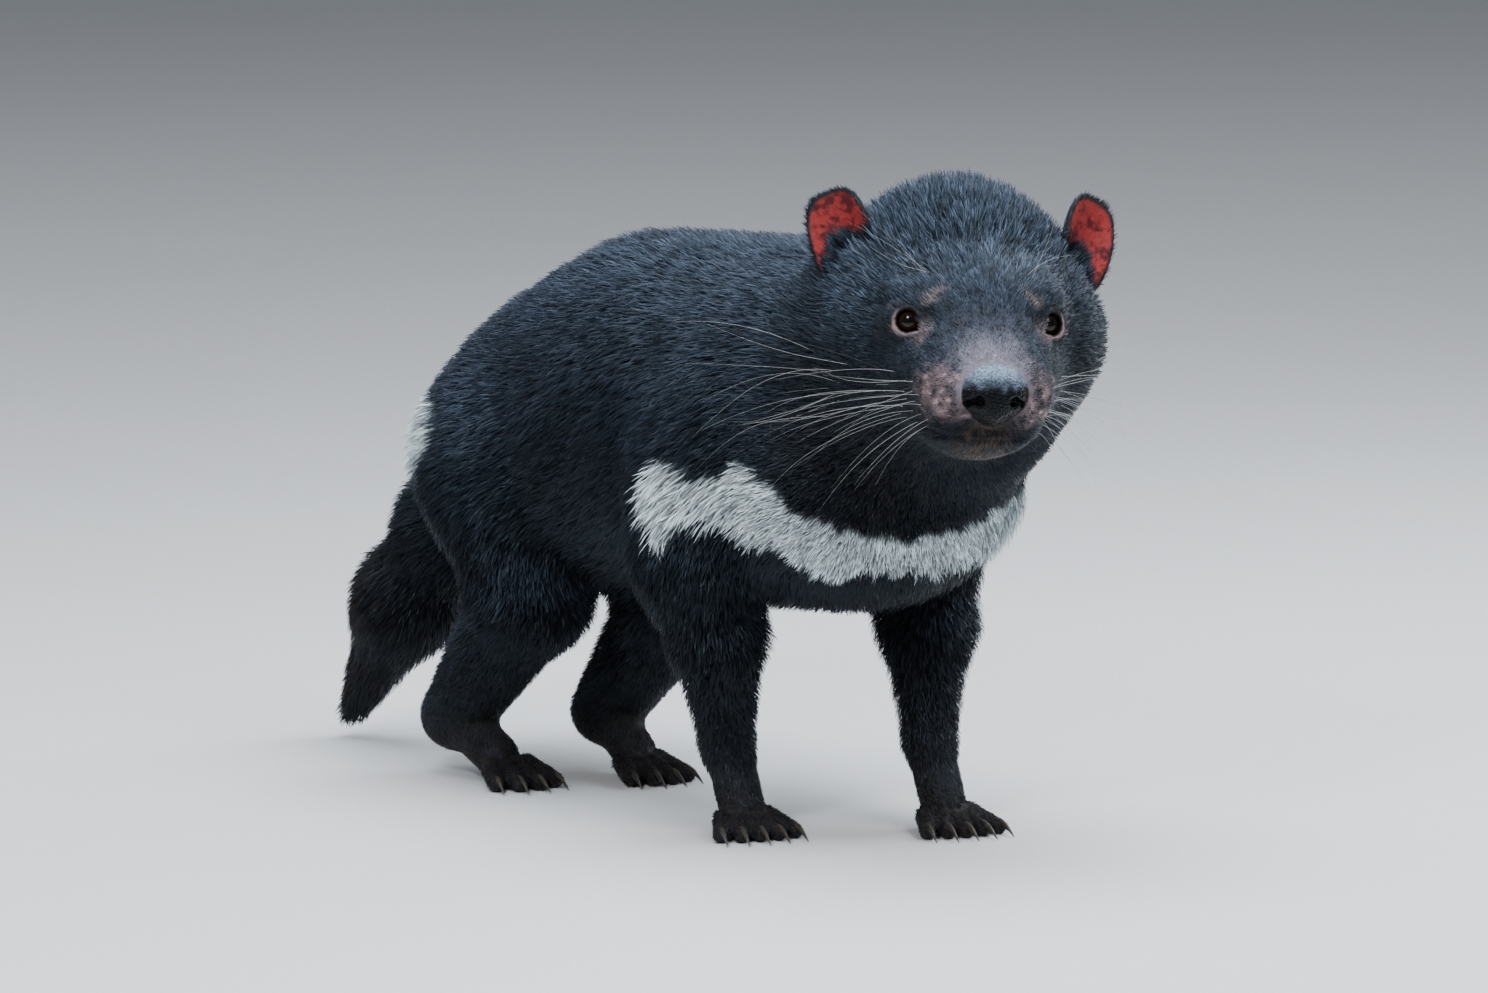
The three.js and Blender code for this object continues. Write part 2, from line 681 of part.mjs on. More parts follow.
// Head, meshed in its own frame with fine lines over the face.
const headMatrix = new THREE.Matrix4()
  .makeTranslation(...HEAD_CENTRE)
  .multiply(new THREE.Matrix4().makeRotationFromEuler(
    new THREE.Euler(radians(HEAD_ROLL), 0, radians(HEAD_YAW), "ZYX"),
  ));
const MOUTH = { frontX: 100, frontZ: -53, rise: 0.1, centreX: 46, halfTurn: 76 };
const mouthHeight = (x) => MOUTH.frontZ + (MOUTH.frontX - x) * MOUTH.rise;

// The lips swell a little above and below the line of the mouth.
function lipSwell(x, z) {
  const forward = THREE.MathUtils.smoothstep(x, 34, 58);
  return 1.3 * forward * Math.exp(-(((z - mouthHeight(x)) / 5) ** 2));
}
const headField = (x, y, z) => body(...fromHead([x, y, z])) - lipSwell(x, z);
const FACE_STEP = 2.7;
const FACE_TOLERANCE = 0.2;
const headSurface = thinned(surfaceMesh(
  headField,
  gridLines({ from: -78, to: 30, step: 6.5 }, { to: 42, step: 4.2 }, { to: 110, step: FACE_STEP }),
  gridLines({ from: -92, to: -50, step: 6 }, { to: 50, step: FACE_STEP }, { to: 92, step: 6 }),
  gridLines({ from: -132, to: -70, step: 6.5 }, { to: 16, step: FACE_STEP }, { to: 84, step: 6 }),
), FACE_TOLERANCE).applyMatrix4(headMatrix);

const placed = (geometry) => solid(geometry.applyMatrix4(headMatrix));

function ball(centre, radii, tilt = [0, 0, 0], detail = 14) {
  const sphere = new THREE.SphereGeometry(1, detail, Math.round(detail * 0.7));
  sphere.rotateX(Math.PI / 2);
  sphere.scale(...radii);
  sphere.applyMatrix4(new THREE.Matrix4().makeRotationFromEuler(
    new THREE.Euler(radians(tilt[2]), radians(tilt[1]), radians(tilt[0]), "ZYX"),
  ));
  return placed(sphere.translate(...centre));
}

// A ball whose poles lie along the way the eye looks.
function eyeBall(side, radius) {
  const sphere = new THREE.SphereGeometry(radius, 18, 12);
  const poleAlongAxis = new THREE.Quaternion().setFromUnitVectors(new THREE.Vector3(0, 1, 0), EYE_AXIS(side));
  sphere.applyQuaternion(poleAlongAxis);
  return placed(sphere.translate(...EYE_CENTRE(side)));
}

// The opening between the lids, an oval a little wider than high.
function lidOpening(side) {
  const halfWidth = 6.5;
  const halfHeight = 5.8;
  const length = 16;
  const oval = new THREE.CylinderGeometry(1.25, 0.75, length, 20);
  oval.scale(halfWidth, 1, halfHeight);
  oval.translate(0, length / 2 + EYE_RADIUS * 0.45, 0);
  oval.applyQuaternion(new THREE.Quaternion().setFromUnitVectors(new THREE.Vector3(0, 1, 0), EYE_AXIS(side)));
  return placed(oval.translate(...EYE_CENTRE(side)));
}

// Distance from a point inside the head to its surface along a level direction.
function reachOut(x, angle) {
  let near = 5;
  let far = 90;
  for (let round = 0; round < 24; round += 1) {
    const middle = (near + far) / 2;
    const px = x + middle * Math.cos(angle);
    const py = middle * Math.sin(angle);
    if (headField(px, py, mouthHeight(px)) < 0) near = middle;
    else far = middle;
  }
  return near;
}

// The line of the mouth: a V groove swept round the muzzle, fading at its corners.
function mouthGroove() {
  const stations = 34;
  const depth = 3.2;
  const halfOpening = 1.5;
  const positions = [];
  const triangles = [];
  for (let i = 0; i <= stations; i += 1) {
    const place = (2 * i) / stations - 1;
    const angle = radians(MOUTH.halfTurn) * place;
    const reach = reachOut(MOUTH.centreX, angle);
    const fade = 1 - 0.75 * place ** 6;
    const point = (out, up) => {
      const x = MOUTH.centreX + (reach + out) * Math.cos(angle);
      const y = (reach + out) * Math.sin(angle);
      positions.push(x, y, mouthHeight(MOUTH.centreX + reach * Math.cos(angle)) + up);
    };
    point(1.5, halfOpening * fade);
    point(-depth * fade, 0);
    point(1.5, -halfOpening * fade);
  }
  for (let i = 0; i < stations; i += 1) {
    for (let k = 0; k < 3; k += 1) {
      const a = i * 3 + k;
      const b = i * 3 + ((k + 1) % 3);
      addQuad(triangles, positions, [a, a + 3, b + 3, b]);
    }
  }
  const last = stations * 3;
  triangles.push(0, 1, 2, last, last + 2, last + 1);
  return placed(meshGeometry(positions, triangles));
}

// The groove from the nose down to the lip.
function philtrum() {
  const box = block([-3, 3], [-0.7, 0.7], [-9, 9]);
  box.rotateY(radians(8));
  return placed(box.translate(104.2, 0, -46));
}

const clearOfHead = solid(swollen(headSurface, GAP));
const noseForms = melt([
  egg([100.5, 0, -27], [12, NOSE_HALF_WIDTH, 10.5], 5),
  egg([101, 0, -36.4], [10, 9.3, 10.6], 6),
  ...onBothSides((side) => egg([101.5, side * 8.5, -29.5], [9.5, 7.5, 8], 4)),
]);
const noseBlank = placed(thinned(
  surfaceMesh(noseForms, evenLines(80, 116, 2), evenLines(-20, 20, 2), evenLines(-50, -12, 2)), 0.12,
));
const nostrils = onBothSides((side) => [
  ball([111.4, side * 8.6, -34.5], [4.2, 2.7, 2.9], [side * 16, 0, 0], 12),
  ball([106.8, side * 12.2, -35.6], [2.4, 4.0, 1.3], [side * 35, 0, side * -22], 12),
]).flat();

let headShape = solid(headSurface).intersect(ahead(CUTS.headRoot));
headShape = headShape.subtract(mouthGroove()).subtract(philtrum());
for (const side of [1, -1]) {
  headShape = headShape.subtract(eyeBall(side, EYE_RADIUS + GAP)).subtract(lidOpening(side));
}
addNode("head", headShape, COLOURS.coat);
const nosePad = nostrils.reduce((shape, hole) => shape.subtract(hole), noseBlank.subtract(clearOfHead));
addNode("nose", nosePad, COLOURS.nose, 0.25);
for (const [name, side] of [["left", 1], ["right", -1]]) {
  addNode(`eye_${name}`, eyeBall(side, EYE_RADIUS), COLOURS.eye, 0.1);
}

// Ears: cupped discs, thin at the rim, whose feet are cut to the head.
const EAR = {
  centre: [-3, 60, 34.5], towardsLeft: 2.5, faceOut: 30, leanOut: 24, leanBack: 8,
  squareness: 3, cup: 9, rings: 5, around: 22,
};
function earShape(side) {
  const positions = [];
  const triangles = [];
  const point = (ring, k, isBack) => {
    const rho = ring / EAR.rings;
    const angle = (2 * Math.PI * k) / EAR.around;
    const c = Math.cos(angle);
    const s = Math.sin(angle);
    const corner = (Math.abs(c) ** EAR.squareness + Math.abs(s) ** EAR.squareness) ** (-1 / EAR.squareness);
    const across = rho * EAR_HALF_WIDTH * c * corner * (1 - 0.08 * rho * s);
    const up = rho * (EAR_HEIGHT / 2) * s * corner;
    const thickness = 1.3 + 1.7 * (1 - rho * rho);
    const curl = EAR.cup * rho * rho * (0.35 + 0.65 * c * c);
    positions.push(curl - (isBack ? thickness : 0), across, up);
  };
  for (const isBack of [false, true]) {
    point(0, 0, isBack);
    for (let ring = 1; ring <= EAR.rings; ring += 1) {
      for (let k = 0; k < EAR.around; k += 1) point(ring, k, isBack);
    }
  }
  const perSheet = 1 + EAR.rings * EAR.around;
  const index = (ring, k, isBack) => {
    const inSheet = ring === 0 ? 0 : 1 + (ring - 1) * EAR.around + (k % EAR.around);
    return inSheet + (isBack ? perSheet : 0);
  };
  for (const isBack of [false, true]) {
    for (let k = 0; k < EAR.around; k += 1) {
      const fan = [index(0, 0, isBack), index(1, k, isBack), index(1, k + 1, isBack)];
      triangles.push(...(isBack ? fan.reverse() : fan));
      for (let ring = 1; ring < EAR.rings; ring += 1) {
        const [a, b] = [index(ring, k, isBack), index(ring + 1, k, isBack)];
        const [c, d] = [index(ring + 1, k + 1, isBack), index(ring, k + 1, isBack)];
        const both = [a, b, c, a, c, d];
        triangles.push(...(isBack ? both.reverse() : both));
      }
    }
  }
  for (let k = 0; k < EAR.around; k += 1) {
    const [a, b] = [index(EAR.rings, k, false), index(EAR.rings, k + 1, false)];
    const [c, d] = [index(EAR.rings, k + 1, true), index(EAR.rings, k, true)];
    triangles.push(a, d, c, a, c, b);
  }
  const ear = meshGeometry(positions, triangles);
  ear.applyMatrix4(new THREE.Matrix4().makeRotationFromEuler(
    new THREE.Euler(radians(-side * EAR.leanOut), radians(-EAR.leanBack), radians(side * EAR.faceOut), "ZYX"),
  ));
  const [x, y, z] = EAR.centre;
  return placed(ear.translate(x, side * y + EAR.towardsLeft, z));
}
for (const [name, side] of [["left", 1], ["right", -1]]) {
  addNode(`ear_${name}`, earShape(side).subtract(clearOfHead), COLOURS.ear);
}

// The finished model stands with the middle of its box on the origin.
const model = new THREE.Group();
for (const { name, geometry, colour, roughness } of nodes) {
  const flat = geometry.toNonIndexed();
  flat.computeVertexNormals();
  const mesh = new THREE.Mesh(flat, new THREE.MeshStandardMaterial({ color: colour, roughness, metalness: 0 }));
  mesh.name = name;
  model.add(mesh);
}
const bounds = new THREE.Box3().setFromObject(model);
model.position.set(-(bounds.min.x + bounds.max.x) / 2, -(bounds.min.y + bounds.max.y) / 2, 0);

export default model;
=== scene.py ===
"""A Tasmanian devil, life size, standing still with its head turned to its right.

Lengths in the code are millimetres in the animal's own frame: X forward along the trunk,
Y to its left, Z up, with the floor at zero. Blender's objects are in metres.
"""

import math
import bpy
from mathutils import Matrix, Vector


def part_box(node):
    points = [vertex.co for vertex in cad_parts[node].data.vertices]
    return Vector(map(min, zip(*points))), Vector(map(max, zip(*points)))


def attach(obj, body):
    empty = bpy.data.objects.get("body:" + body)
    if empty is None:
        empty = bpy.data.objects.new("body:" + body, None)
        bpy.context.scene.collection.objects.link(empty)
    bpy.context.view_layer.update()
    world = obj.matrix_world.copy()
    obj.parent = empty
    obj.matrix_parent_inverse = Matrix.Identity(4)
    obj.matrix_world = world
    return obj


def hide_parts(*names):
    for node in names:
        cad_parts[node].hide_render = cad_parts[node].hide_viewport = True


bl_info = {
    "name": "Tasmanian Devil",
    "version": (1, 0, 0),
    "blender": (4, 5, 0),
    "location": "3D View > Sidebar > Devil",
    "description": "Builds the skin, coat, eyes, claws and whiskers of a standing Tasmanian devil",
    "category": "Object",
}

import bpy
import numpy as np
from mathutils import Matrix, Vector

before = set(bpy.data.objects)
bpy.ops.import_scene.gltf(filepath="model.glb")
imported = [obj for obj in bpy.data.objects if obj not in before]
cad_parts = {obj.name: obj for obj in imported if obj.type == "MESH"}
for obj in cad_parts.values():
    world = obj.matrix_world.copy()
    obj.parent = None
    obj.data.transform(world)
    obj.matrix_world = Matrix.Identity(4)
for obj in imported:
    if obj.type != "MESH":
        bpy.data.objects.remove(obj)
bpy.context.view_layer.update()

MM = 0.001
SIDES = (1, -1)
SIDE_NAMES = {1: "left", -1: "right"}

# Head frame: origin between the ears at the height of the eyes, X towards the nose.
HEAD_CENTRE = np.array([212.0, 4.0, 283.0])
HEAD_YAW = -28.0
HEAD_ROLL = -2.5
EYE_RADIUS = 8.3
EYE_FORWARD = 52.4
EYE_SPREAD = 33.4
EYE_HEIGHT = -1.0
LID_RADIUS = EYE_RADIUS + 1.8
EAR_HALF_HEIGHT = 25.5
EAR_HALF_WIDTH = 17.0
CLAW_LENGTH = 15.0
CLAW_RADIUS = 2.3
LEGS = ("front_right", "front_left", "hind_right", "hind_left")


def rotation(yaw=0.0, pitch=0.0, roll=0.0):
    """Yaw about Z, then pitch about Y, then roll about X, in degrees."""
    turn = Matrix.Rotation(math.radians(yaw), 3, "Z")
    turn = turn @ Matrix.Rotation(math.radians(pitch), 3, "Y")
    turn = turn @ Matrix.Rotation(math.radians(roll), 3, "X")
    return np.array(turn)


HEAD_TURN = rotation(HEAD_YAW, 0.0, HEAD_ROLL)


def to_head(points):
    """Points of the animal's frame as the head's frame has them."""
    return (points - HEAD_CENTRE) @ HEAD_TURN


def from_head(points):
    return np.asarray(points, float) @ HEAD_TURN.T + HEAD_CENTRE


def eye_centre(side):
    return np.array([EYE_FORWARD, side * EYE_SPREAD, EYE_HEIGHT])


def eye_axis(side):
    axis = np.array([0.91, side * 0.38, 0.14])
    return axis / np.linalg.norm(axis)


def node_centre(name):
    low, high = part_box(name)
    return (np.array(low) + np.array(high)) / 2


# The animal's frame is set into the model's frame by the middle of one eye.
FRAME_SHIFT = node_centre("eye_left") - from_head(eye_centre(1)) * MM


def smooth_step(x, low, high):
    t = np.clip((x - low) / (high - low), 0.0, 1.0)
    return t * t * (3.0 - 2.0 * t)


def mix(a, b, share):
    return a + (b - a) * share


def unit(vectors):
    return vectors / (np.linalg.norm(vectors, axis=-1, keepdims=True) + 1e-9)


def dice(cells, seed):
    """A repeatable number from -1 to 1 for each whole-numbered cell."""
    i, j, k = (cells[..., n].astype(np.int64) for n in range(3))
    h = (i * 374761393 + j * 668265263 + k * 1440662683 + seed * 1274126177) & 0xFFFFFFFF
    h = ((h ^ (h >> 13)) * 1274126177) & 0xFFFFFFFF
    h = ((h ^ (h >> 15)) * 2246822519) & 0xFFFFFFFF
    return (h ^ (h >> 16)) / 2147483648.0 - 1.0


def soft_noise(points, size, seed):
    """Smooth noise from -1 to 1 with lumps of about the size given."""
    scaled = points / size
    cell = np.floor(scaled)
    t = scaled - cell
    t = t * t * (3.0 - 2.0 * t)
    total = np.zeros(len(points))
    for corner in range(8):
        shift = np.array([corner & 1, (corner >> 1) & 1, (corner >> 2) & 1])
        weight = np.prod(np.where(shift == 1, t, 1.0 - t), axis=1)
        total += weight * dice(cell + shift, seed)
    return total


# Forms are distances in millimetres that melt into each other.
def egg(at, radii, blend, tilt=(0.0, 0.0, 0.0)):
    turn = rotation(*tilt)
    at = np.array(at, float)
    radii = np.array(radii, float)

    def distance(points):
        local = (points - at) @ turn / radii
        size = np.sqrt((local * local).sum(1))
        slope = np.sqrt(((local / radii) ** 2).sum(1)) + 1e-9
        return size * (size - 1.0) / slope

    return distance, blend


def taper(start, end, start_radius, end_radius, blend):
    start = np.array(start, float)
    axis = np.array(end, float) - start
    length2 = axis @ axis
    drop = start_radius - end_radius
    side2 = length2 - drop * drop

    def distance(points):
        p = points - start
        along = p @ axis
        past = along - length2
        across = p * length2 - along[:, None] * axis
        off2 = (across * across).sum(1)
        cone = np.sign(drop) * drop * drop * off2
        beyond = np.sign(past) * side2 * past * past * length2 > cone
        before = np.sign(along) * side2 * along * along * length2 < cone
        at_end = np.sqrt(off2 + past * past * length2) / length2 - end_radius
        at_start = np.sqrt(off2 + along * along * length2) / length2 - start_radius
        between = (np.sqrt(off2 * side2 / length2) + along * drop) / length2 - start_radius
        return np.where(beyond, at_end, np.where(before, at_start, between))

    return distance, blend


def blend_join(a, b, blend):
    near = np.maximum(blend - np.abs(a - b), 0.0) / blend
    return np.minimum(a, b) - near * near * blend / 4.0


def blend_meet(a, b, blend):
    """What lies in both forms, with a soft edge."""
    return -blend_join(-a, -b, blend)


def melt(forms, points):
    total = forms[0][0](points)
    for distance, blend in forms[1:]:
        total = blend_join(total, distance(points), blend)
    return total


def both(make):
    return [make(side) for side in SIDES]


TRUNK = [
    egg([60, 0, 213], [104, 80, 98], 30),
    egg([-18, 0, 210], [110, 76, 98], 30),
    egg([-95, 0, 190], [91, 73, 84], 30),
    *both(lambda side: egg([-118, side * 37, 178], [63, 44, 54], 24)),
]
NECK = [
    taper([118, 6, 212], [184, 13, 250], 84, 73, 34),
    egg([148, 10, 182], [52, 77, 58], 30),
    egg([150, 4, 268], [60, 56, 50], 30),
]
HEAD = [
    egg([-8, 0, 12], [56, 57, 51], 20),
    taper([-4, 0, 20], [50, 0, -2], 40, 29, 16),
    *both(lambda side: egg([3, side * 37, -12], [49, 39, 43], 20, [side * -8, 0, 0])),
    taper([40, 0, -2], [90, 0, -29], 31, 14, 16),
    egg([58, 0, -27], [45, 37, 27], 20),
    *both(lambda side: taper([18, side * 30, -24], [72, side * 14, -33], 29, 17, 16)),
    *both(lambda side: egg([83, side * 14, -34], [20, 17.5, 17.5], 10)),
    egg([52, 0, -50], [42, 29, 18], 10),
    *both(lambda side: egg([45, side * 26, 12], [15, 14, 9], 18, [0, 25, 0])),
    *both(lambda side: egg(eye_centre(side), [LID_RADIUS] * 3, 6)),
]
TAIL_BEND = [-209, -4, 128]
TAIL_TIP = [-284, -20, 21]
TAIL = [
    taper([-166, 0, 168], TAIL_BEND, 41, 33, 30),
    taper(TAIL_BEND, [-245, -12, 84], 33, 29, 20),
    taper([-245, -12, 84], TAIL_TIP, 29, 11, 20),
]


def toe_plan(paw, heading, count, reach, spread, radius):
    """Knuckle, end and way of each toe of a paw."""
    ahead = np.array([math.cos(math.radians(heading)), math.sin(math.radians(heading)), 0.0])
    across = np.array([-ahead[1], ahead[0], 0.0])
    toes = []
    for i in range(count):
        place = 2.0 * i / (count - 1) - 1.0
        length = reach * (1.0 - 0.16 * place * place)
        root = np.array([*paw, radius + 4.0]) + across * place * spread * 0.6 + ahead * 4.0
        end = np.array([*paw, radius - 1.0]) + across * place * spread + ahead * length
        toes.append({
            "root": root, "end": end, "ahead": ahead, "across": across, "place": place, "radius": radius,
        })
    return toes


def toe_forms(toes):
    return [taper(t["root"], t["end"], t["radius"] + 1.4, t["radius"], 2.5) for t in toes]


def front_leg(side, shoulder, elbow, wrist, paw, heading):
    toes = toe_plan(paw, heading, 5, 27.0, 20.5, 4.9)
    x, y = shoulder
    forms = [
        egg([x, side * y, 186], [46, 30, 72], 24, [0, 8, side * 6]),
        taper([x - 2, side * (y - 2), 150], elbow, 35, 28, 20),
        taper(elbow, wrist, 27, 15, 12),
        taper(wrist, [paw[0] - 1, paw[1], 14], 13.5, 12.5, 8),
    ]
    return {"toes": toes, "forms": forms + toe_forms(toes), "bones": [(x, side * y, 186), elbow, wrist]}


def hind_leg(hip, knee, hock, ball, paw, heading):
    toes = toe_plan(paw, heading, 4, 33.0, 17.0, 5.3)
    forms = [taper(hip, knee, 52, 34, 24), taper(knee, hock, 33, 20, 14), taper(hock, ball, 14, 12.5, 8)]
    return {"toes": toes, "forms": forms + toe_forms(toes), "bones": [hip, knee, hock]}


LEG_PLANS = {
    "front_right": front_leg(-1, (84, 62), [86, -52, 108], [77, -38, 46], [88, -36], -18),
    "front_left": front_leg(1, (112, 64), [123, 59, 108], [130, 55, 46], [144, 54], -14),
    "hind_right": hind_leg(
        [-112, -36, 165], [-84, -46, 108], [-157, -44, 33], [-122, -42, 14], [-116, -40], -14,
    ),
    "hind_left": hind_leg(
        [-104, 36, 160], [-62, 38, 104], [-119, 30, 33], [-90, 27, 14], [-86, 26], -10,
    ),
}
LEG_BOXES = {
    "front_right": ((0, 175), (-130, 20), (-20, 285)),
    "front_left": ((25, 225), (-20, 130), (-20, 285)),
    "hind_right": ((-215, 10), (-135, 30), (-20, 245)),
    "hind_left": ((-205, 35), (-35, 130), (-20, 245)),
}


def near_leg(name, points):
    """Numbers of the points in the box round a leg."""
    low, high = np.array(LEG_BOXES[name], float).T
    return np.nonzero(((points > low) & (points < high)).all(1))[0]


def coat_surface(points):
    """Distance to the outer surface of the coat, the same surface as the solids have."""
    total = blend_join(melt(TRUNK, points), melt(NECK, points), 40)
    fore = np.nonzero(points[:, 0] > 95)[0]
    if len(fore):
        total[fore] = blend_join(total[fore], melt(HEAD, to_head(points[fore])), 22)
    for name in LEG_PLANS:
        near = near_leg(name, points)
        if len(near):
            leg = melt(LEG_PLANS[name]["forms"], points[near])
            total[near] = blend_join(total[near], leg, 16)
    rear = np.nonzero(points[:, 0] < -110)[0]
    if len(rear):
        total[rear] = blend_join(total[rear], melt(TAIL, points[rear]), 18)
    return total


# The skin lies inside the coat by the depth of the fur.
BODY_DEPTH = 9.0
CROWN_DEPTH = 6.0
MUZZLE_DEPTH = 0.8
FOOT_DEPTH = 0.8
TAIL_TIP_DEPTH = 4.5
EAR_CENTRE = {side: np.array([-3.0, side * 60.0 + 2.5, 34.5]) for side in SIDES}
EAR_SQUARENESS = 3.0
EAR_THICKNESS = 2.3
EAR_ROOT = np.array([-8, 40, 12])
MOUTH_FRONT = (100.0, -53.0)
MOUTH_RISE = 0.1
NOSE = [
    egg([100.5, 0, -27], [12, 14.5, 10.5], 6),
    egg([101, 0, -36.4], [10, 10.4, 10.6], 8),
    *both(lambda side: egg([101.5, side * 8.8, -31.5], [9.5, 7.6, 8.4], 5)),
]
NOSTRILS = both(lambda side: [
    egg([111.0, side * 9.2, -34.0], [4.6, 2.5, 2.8], 1, [side * 22, 0, 0]),
    egg([106.4, side * 13.4, -35.2], [3.4, 4.6, 1.4], 2, [side * 35, 0, side * -22]),
])


def ear_frame(side):
    return EAR_CENTRE[side], rotation(side * 30.0, -8.0, side * -24.0)


def ear_places(heads, side):
    """Where a point is on an ear: out of its cup, its share of the way to the rim, and its way round."""
    centre, turn = ear_frame(side)
    local = (heads - centre) @ turn
    height = local[:, 2] / EAR_HALF_HEIGHT
    across = np.abs(local[:, 1] / (EAR_HALF_WIDTH * (1.0 - 0.08 * np.clip(height, -1, 1))))
    up = np.abs(height)
    rim = (across**EAR_SQUARENESS + up**EAR_SQUARENESS) ** (1.0 / EAR_SQUARENESS)
    sideways = across * across / (across * across + up * up + 1e-9)
    cup = 9.0 * np.minimum(rim, 1.3) ** 2 * (0.35 + 0.65 * sideways)
    return local, rim, cup


def from_ear_root(heads, side):
    return np.linalg.norm(heads * [1, side, 1] - EAR_ROOT, axis=1)


def ear_surface(heads, side):
    """Distance to the cupped sheet of an ear, with its two folds."""
    local, rim, cup = ear_places(heads, side)
    thickness = EAR_THICKNESS + 1.5 * np.clip(1.0 - rim * rim, 0.0, 1.0)
    slope = np.sqrt(1.0 + (0.9 * np.minimum(rim, 1.0)) ** 2)
    sheet = np.abs(local[:, 0] - cup + thickness / 2) / slope - thickness / 2
    fold = 1.0 * np.exp(-(((local[:, 1] * side + 3.0) / 2.6) ** 2) - ((local[:, 2] + 4.0) / 9.0) ** 2)
    fold += 1.2 * np.exp(-(((local[:, 1] * side - 7.0) / 2.2) ** 2) - ((local[:, 2] + 10.0) / 6.0) ** 2)
    inside_cup = local[:, 0] > cup - thickness / 2
    sheet = sheet - np.where(inside_cup, fold, 0.0)
    return blend_meet(sheet, (rim - 1.0) * EAR_HALF_WIDTH * 0.9, 1.6)


def mouth_height(x):
    return MOUTH_FRONT[1] + (MOUTH_FRONT[0] - x) * MOUTH_RISE


def coat_depth(points, heads):
    """How far the skin lies under the outer surface of the coat."""
    body = mix(FOOT_DEPTH, BODY_DEPTH, smooth_step(points[:, 2], 14.0, 132.0))
    tail = mix(BODY_DEPTH, TAIL_TIP_DEPTH, smooth_step(-points[:, 0], 200.0, 285.0))
    body = np.where(points[:, 0] < -190.0, np.maximum(body, tail), body)
    face = mix(CROWN_DEPTH, MUZZLE_DEPTH, smooth_step(heads[:, 0], -5.0, 70.0))
    for side in SIDES:
        from_eye = np.linalg.norm(heads - eye_centre(side), axis=1)
        face = face * smooth_step(from_eye, 9.0, 26.0)
    head_share = smooth_step(heads[:, 0], -55.0, -5.0) * (points[:, 0] > 110.0)
    return mix(body, face, head_share)


def lid_places(heads, side):
    """A point in an eye's own frame: out along its axis, towards the nose, and up."""
    axis = eye_axis(side)
    inward = np.cross([0.0, 0.0, 1.0], axis) * -side
    inward = inward / np.linalg.norm(inward)
    up = np.cross(axis, inward) * side
    up = up * np.sign(up[2])
    local = heads - eye_centre(side)
    return local @ axis, local @ inward, local @ up


def lid_opening(inward, up):
    """Below zero in the opening between the lids, which has a tear corner towards the nose."""
    height = np.where(up > 0.0, 5.4, 5.9)
    oval = np.sqrt((inward / 5.9) ** 2 + (up / height) ** 2) - 1.0
    corner = np.sqrt(((inward - 5.0) / 2.0) ** 2 + ((up + 3.9) / 1.2) ** 2) - 1.0
    return blend_join(oval * 5.7, corner * 1.5, 1.2)


def face_details(heads, skin, outer):
    """Adds lips, mouth, nose, nostrils and lids to the distance of the plain skin."""
    x, y, z = heads.T
    lips = 0.9 * smooth_step(x, 34, 58) * np.exp(-(((z - mouth_height(x)) / 5.0) ** 2))
    skin = skin - lips - 0.45 * pad_dots(heads)
    mouth_width = 0.05 + 0.35 * smooth_step(x, 80, 94)
    off_mouth = np.abs(z - mouth_height(x) + 1.6 * (y / 18.0) ** 2)
    mouth = np.maximum(off_mouth - mouth_width, -outer - 0.6 - 1.6 * smooth_step(x, 70, 92))
    skin = blend_meet(skin, -np.where(x > 40, mouth, 9.0), 1.0)
    groove = np.maximum(np.abs(y) - 0.6, np.abs(z + 44.0) - 8.0)
    groove = np.maximum(groove, 101.5 - x + 0.2 * (z + 44.0))
    skin = blend_meet(skin, -groove, 1.2)
    skin = blend_join(skin, melt(NOSE, heads), 1.6)
    for forms in NOSTRILS:
        skin = blend_meet(skin, -melt(forms, heads), 1.4)
    for side in SIDES:
        out, inward, up = lid_places(heads, side)
        opening = lid_opening(inward, up)
        ahead_of_eye = np.where(out > 2.0, opening, 9.0)
        ring = np.sqrt((opening - 1.7) ** 2 + (out - 7.6 + 0.16 * np.abs(inward)) ** 2) - 1.7
        skin = blend_join(skin, ring, 2.6)
        skin = blend_meet(skin, -ahead_of_eye, 1.0)
        from_eye = np.linalg.norm(heads - eye_centre(side), axis=1)
        skin = blend_meet(skin, EYE_RADIUS + 0.15 - from_eye, 0.5)
    return skin


def skin_surface(points):
    """Distance to the skin under the coat, with the face, nose and ears."""
    outer = coat_surface(points)
    heads = to_head(points)
    skin = outer + coat_depth(points, heads)
    in_face = np.nonzero((heads[:, 0] > 30) & (np.abs(outer) < 40))[0]
    if len(in_face):
        skin[in_face] = face_details(heads[in_face], skin[in_face], outer[in_face])
    for side in SIDES:
        near = np.linalg.norm(heads - EAR_CENTRE[side], axis=1) < 48
        near = np.nonzero(near)[0]
        if len(near):
            skin[near] = blend_join(skin[near], ear_surface(heads[near], side), 5.0)
    return np.maximum(skin, -points[:, 2])


CUBE_CORNERS = [(c & 1, (c >> 1) & 1, (c >> 2) & 1) for c in range(8)]
POINTS_AT_ONCE = 400000


def corner_blocks(grid, size):
    """The eight shifted views of a grid, one for each corner of its cells."""
    return [grid[i:i + size[0], j:j + size[1], k:k + size[2]] for i, j, k in CUBE_CORNERS]


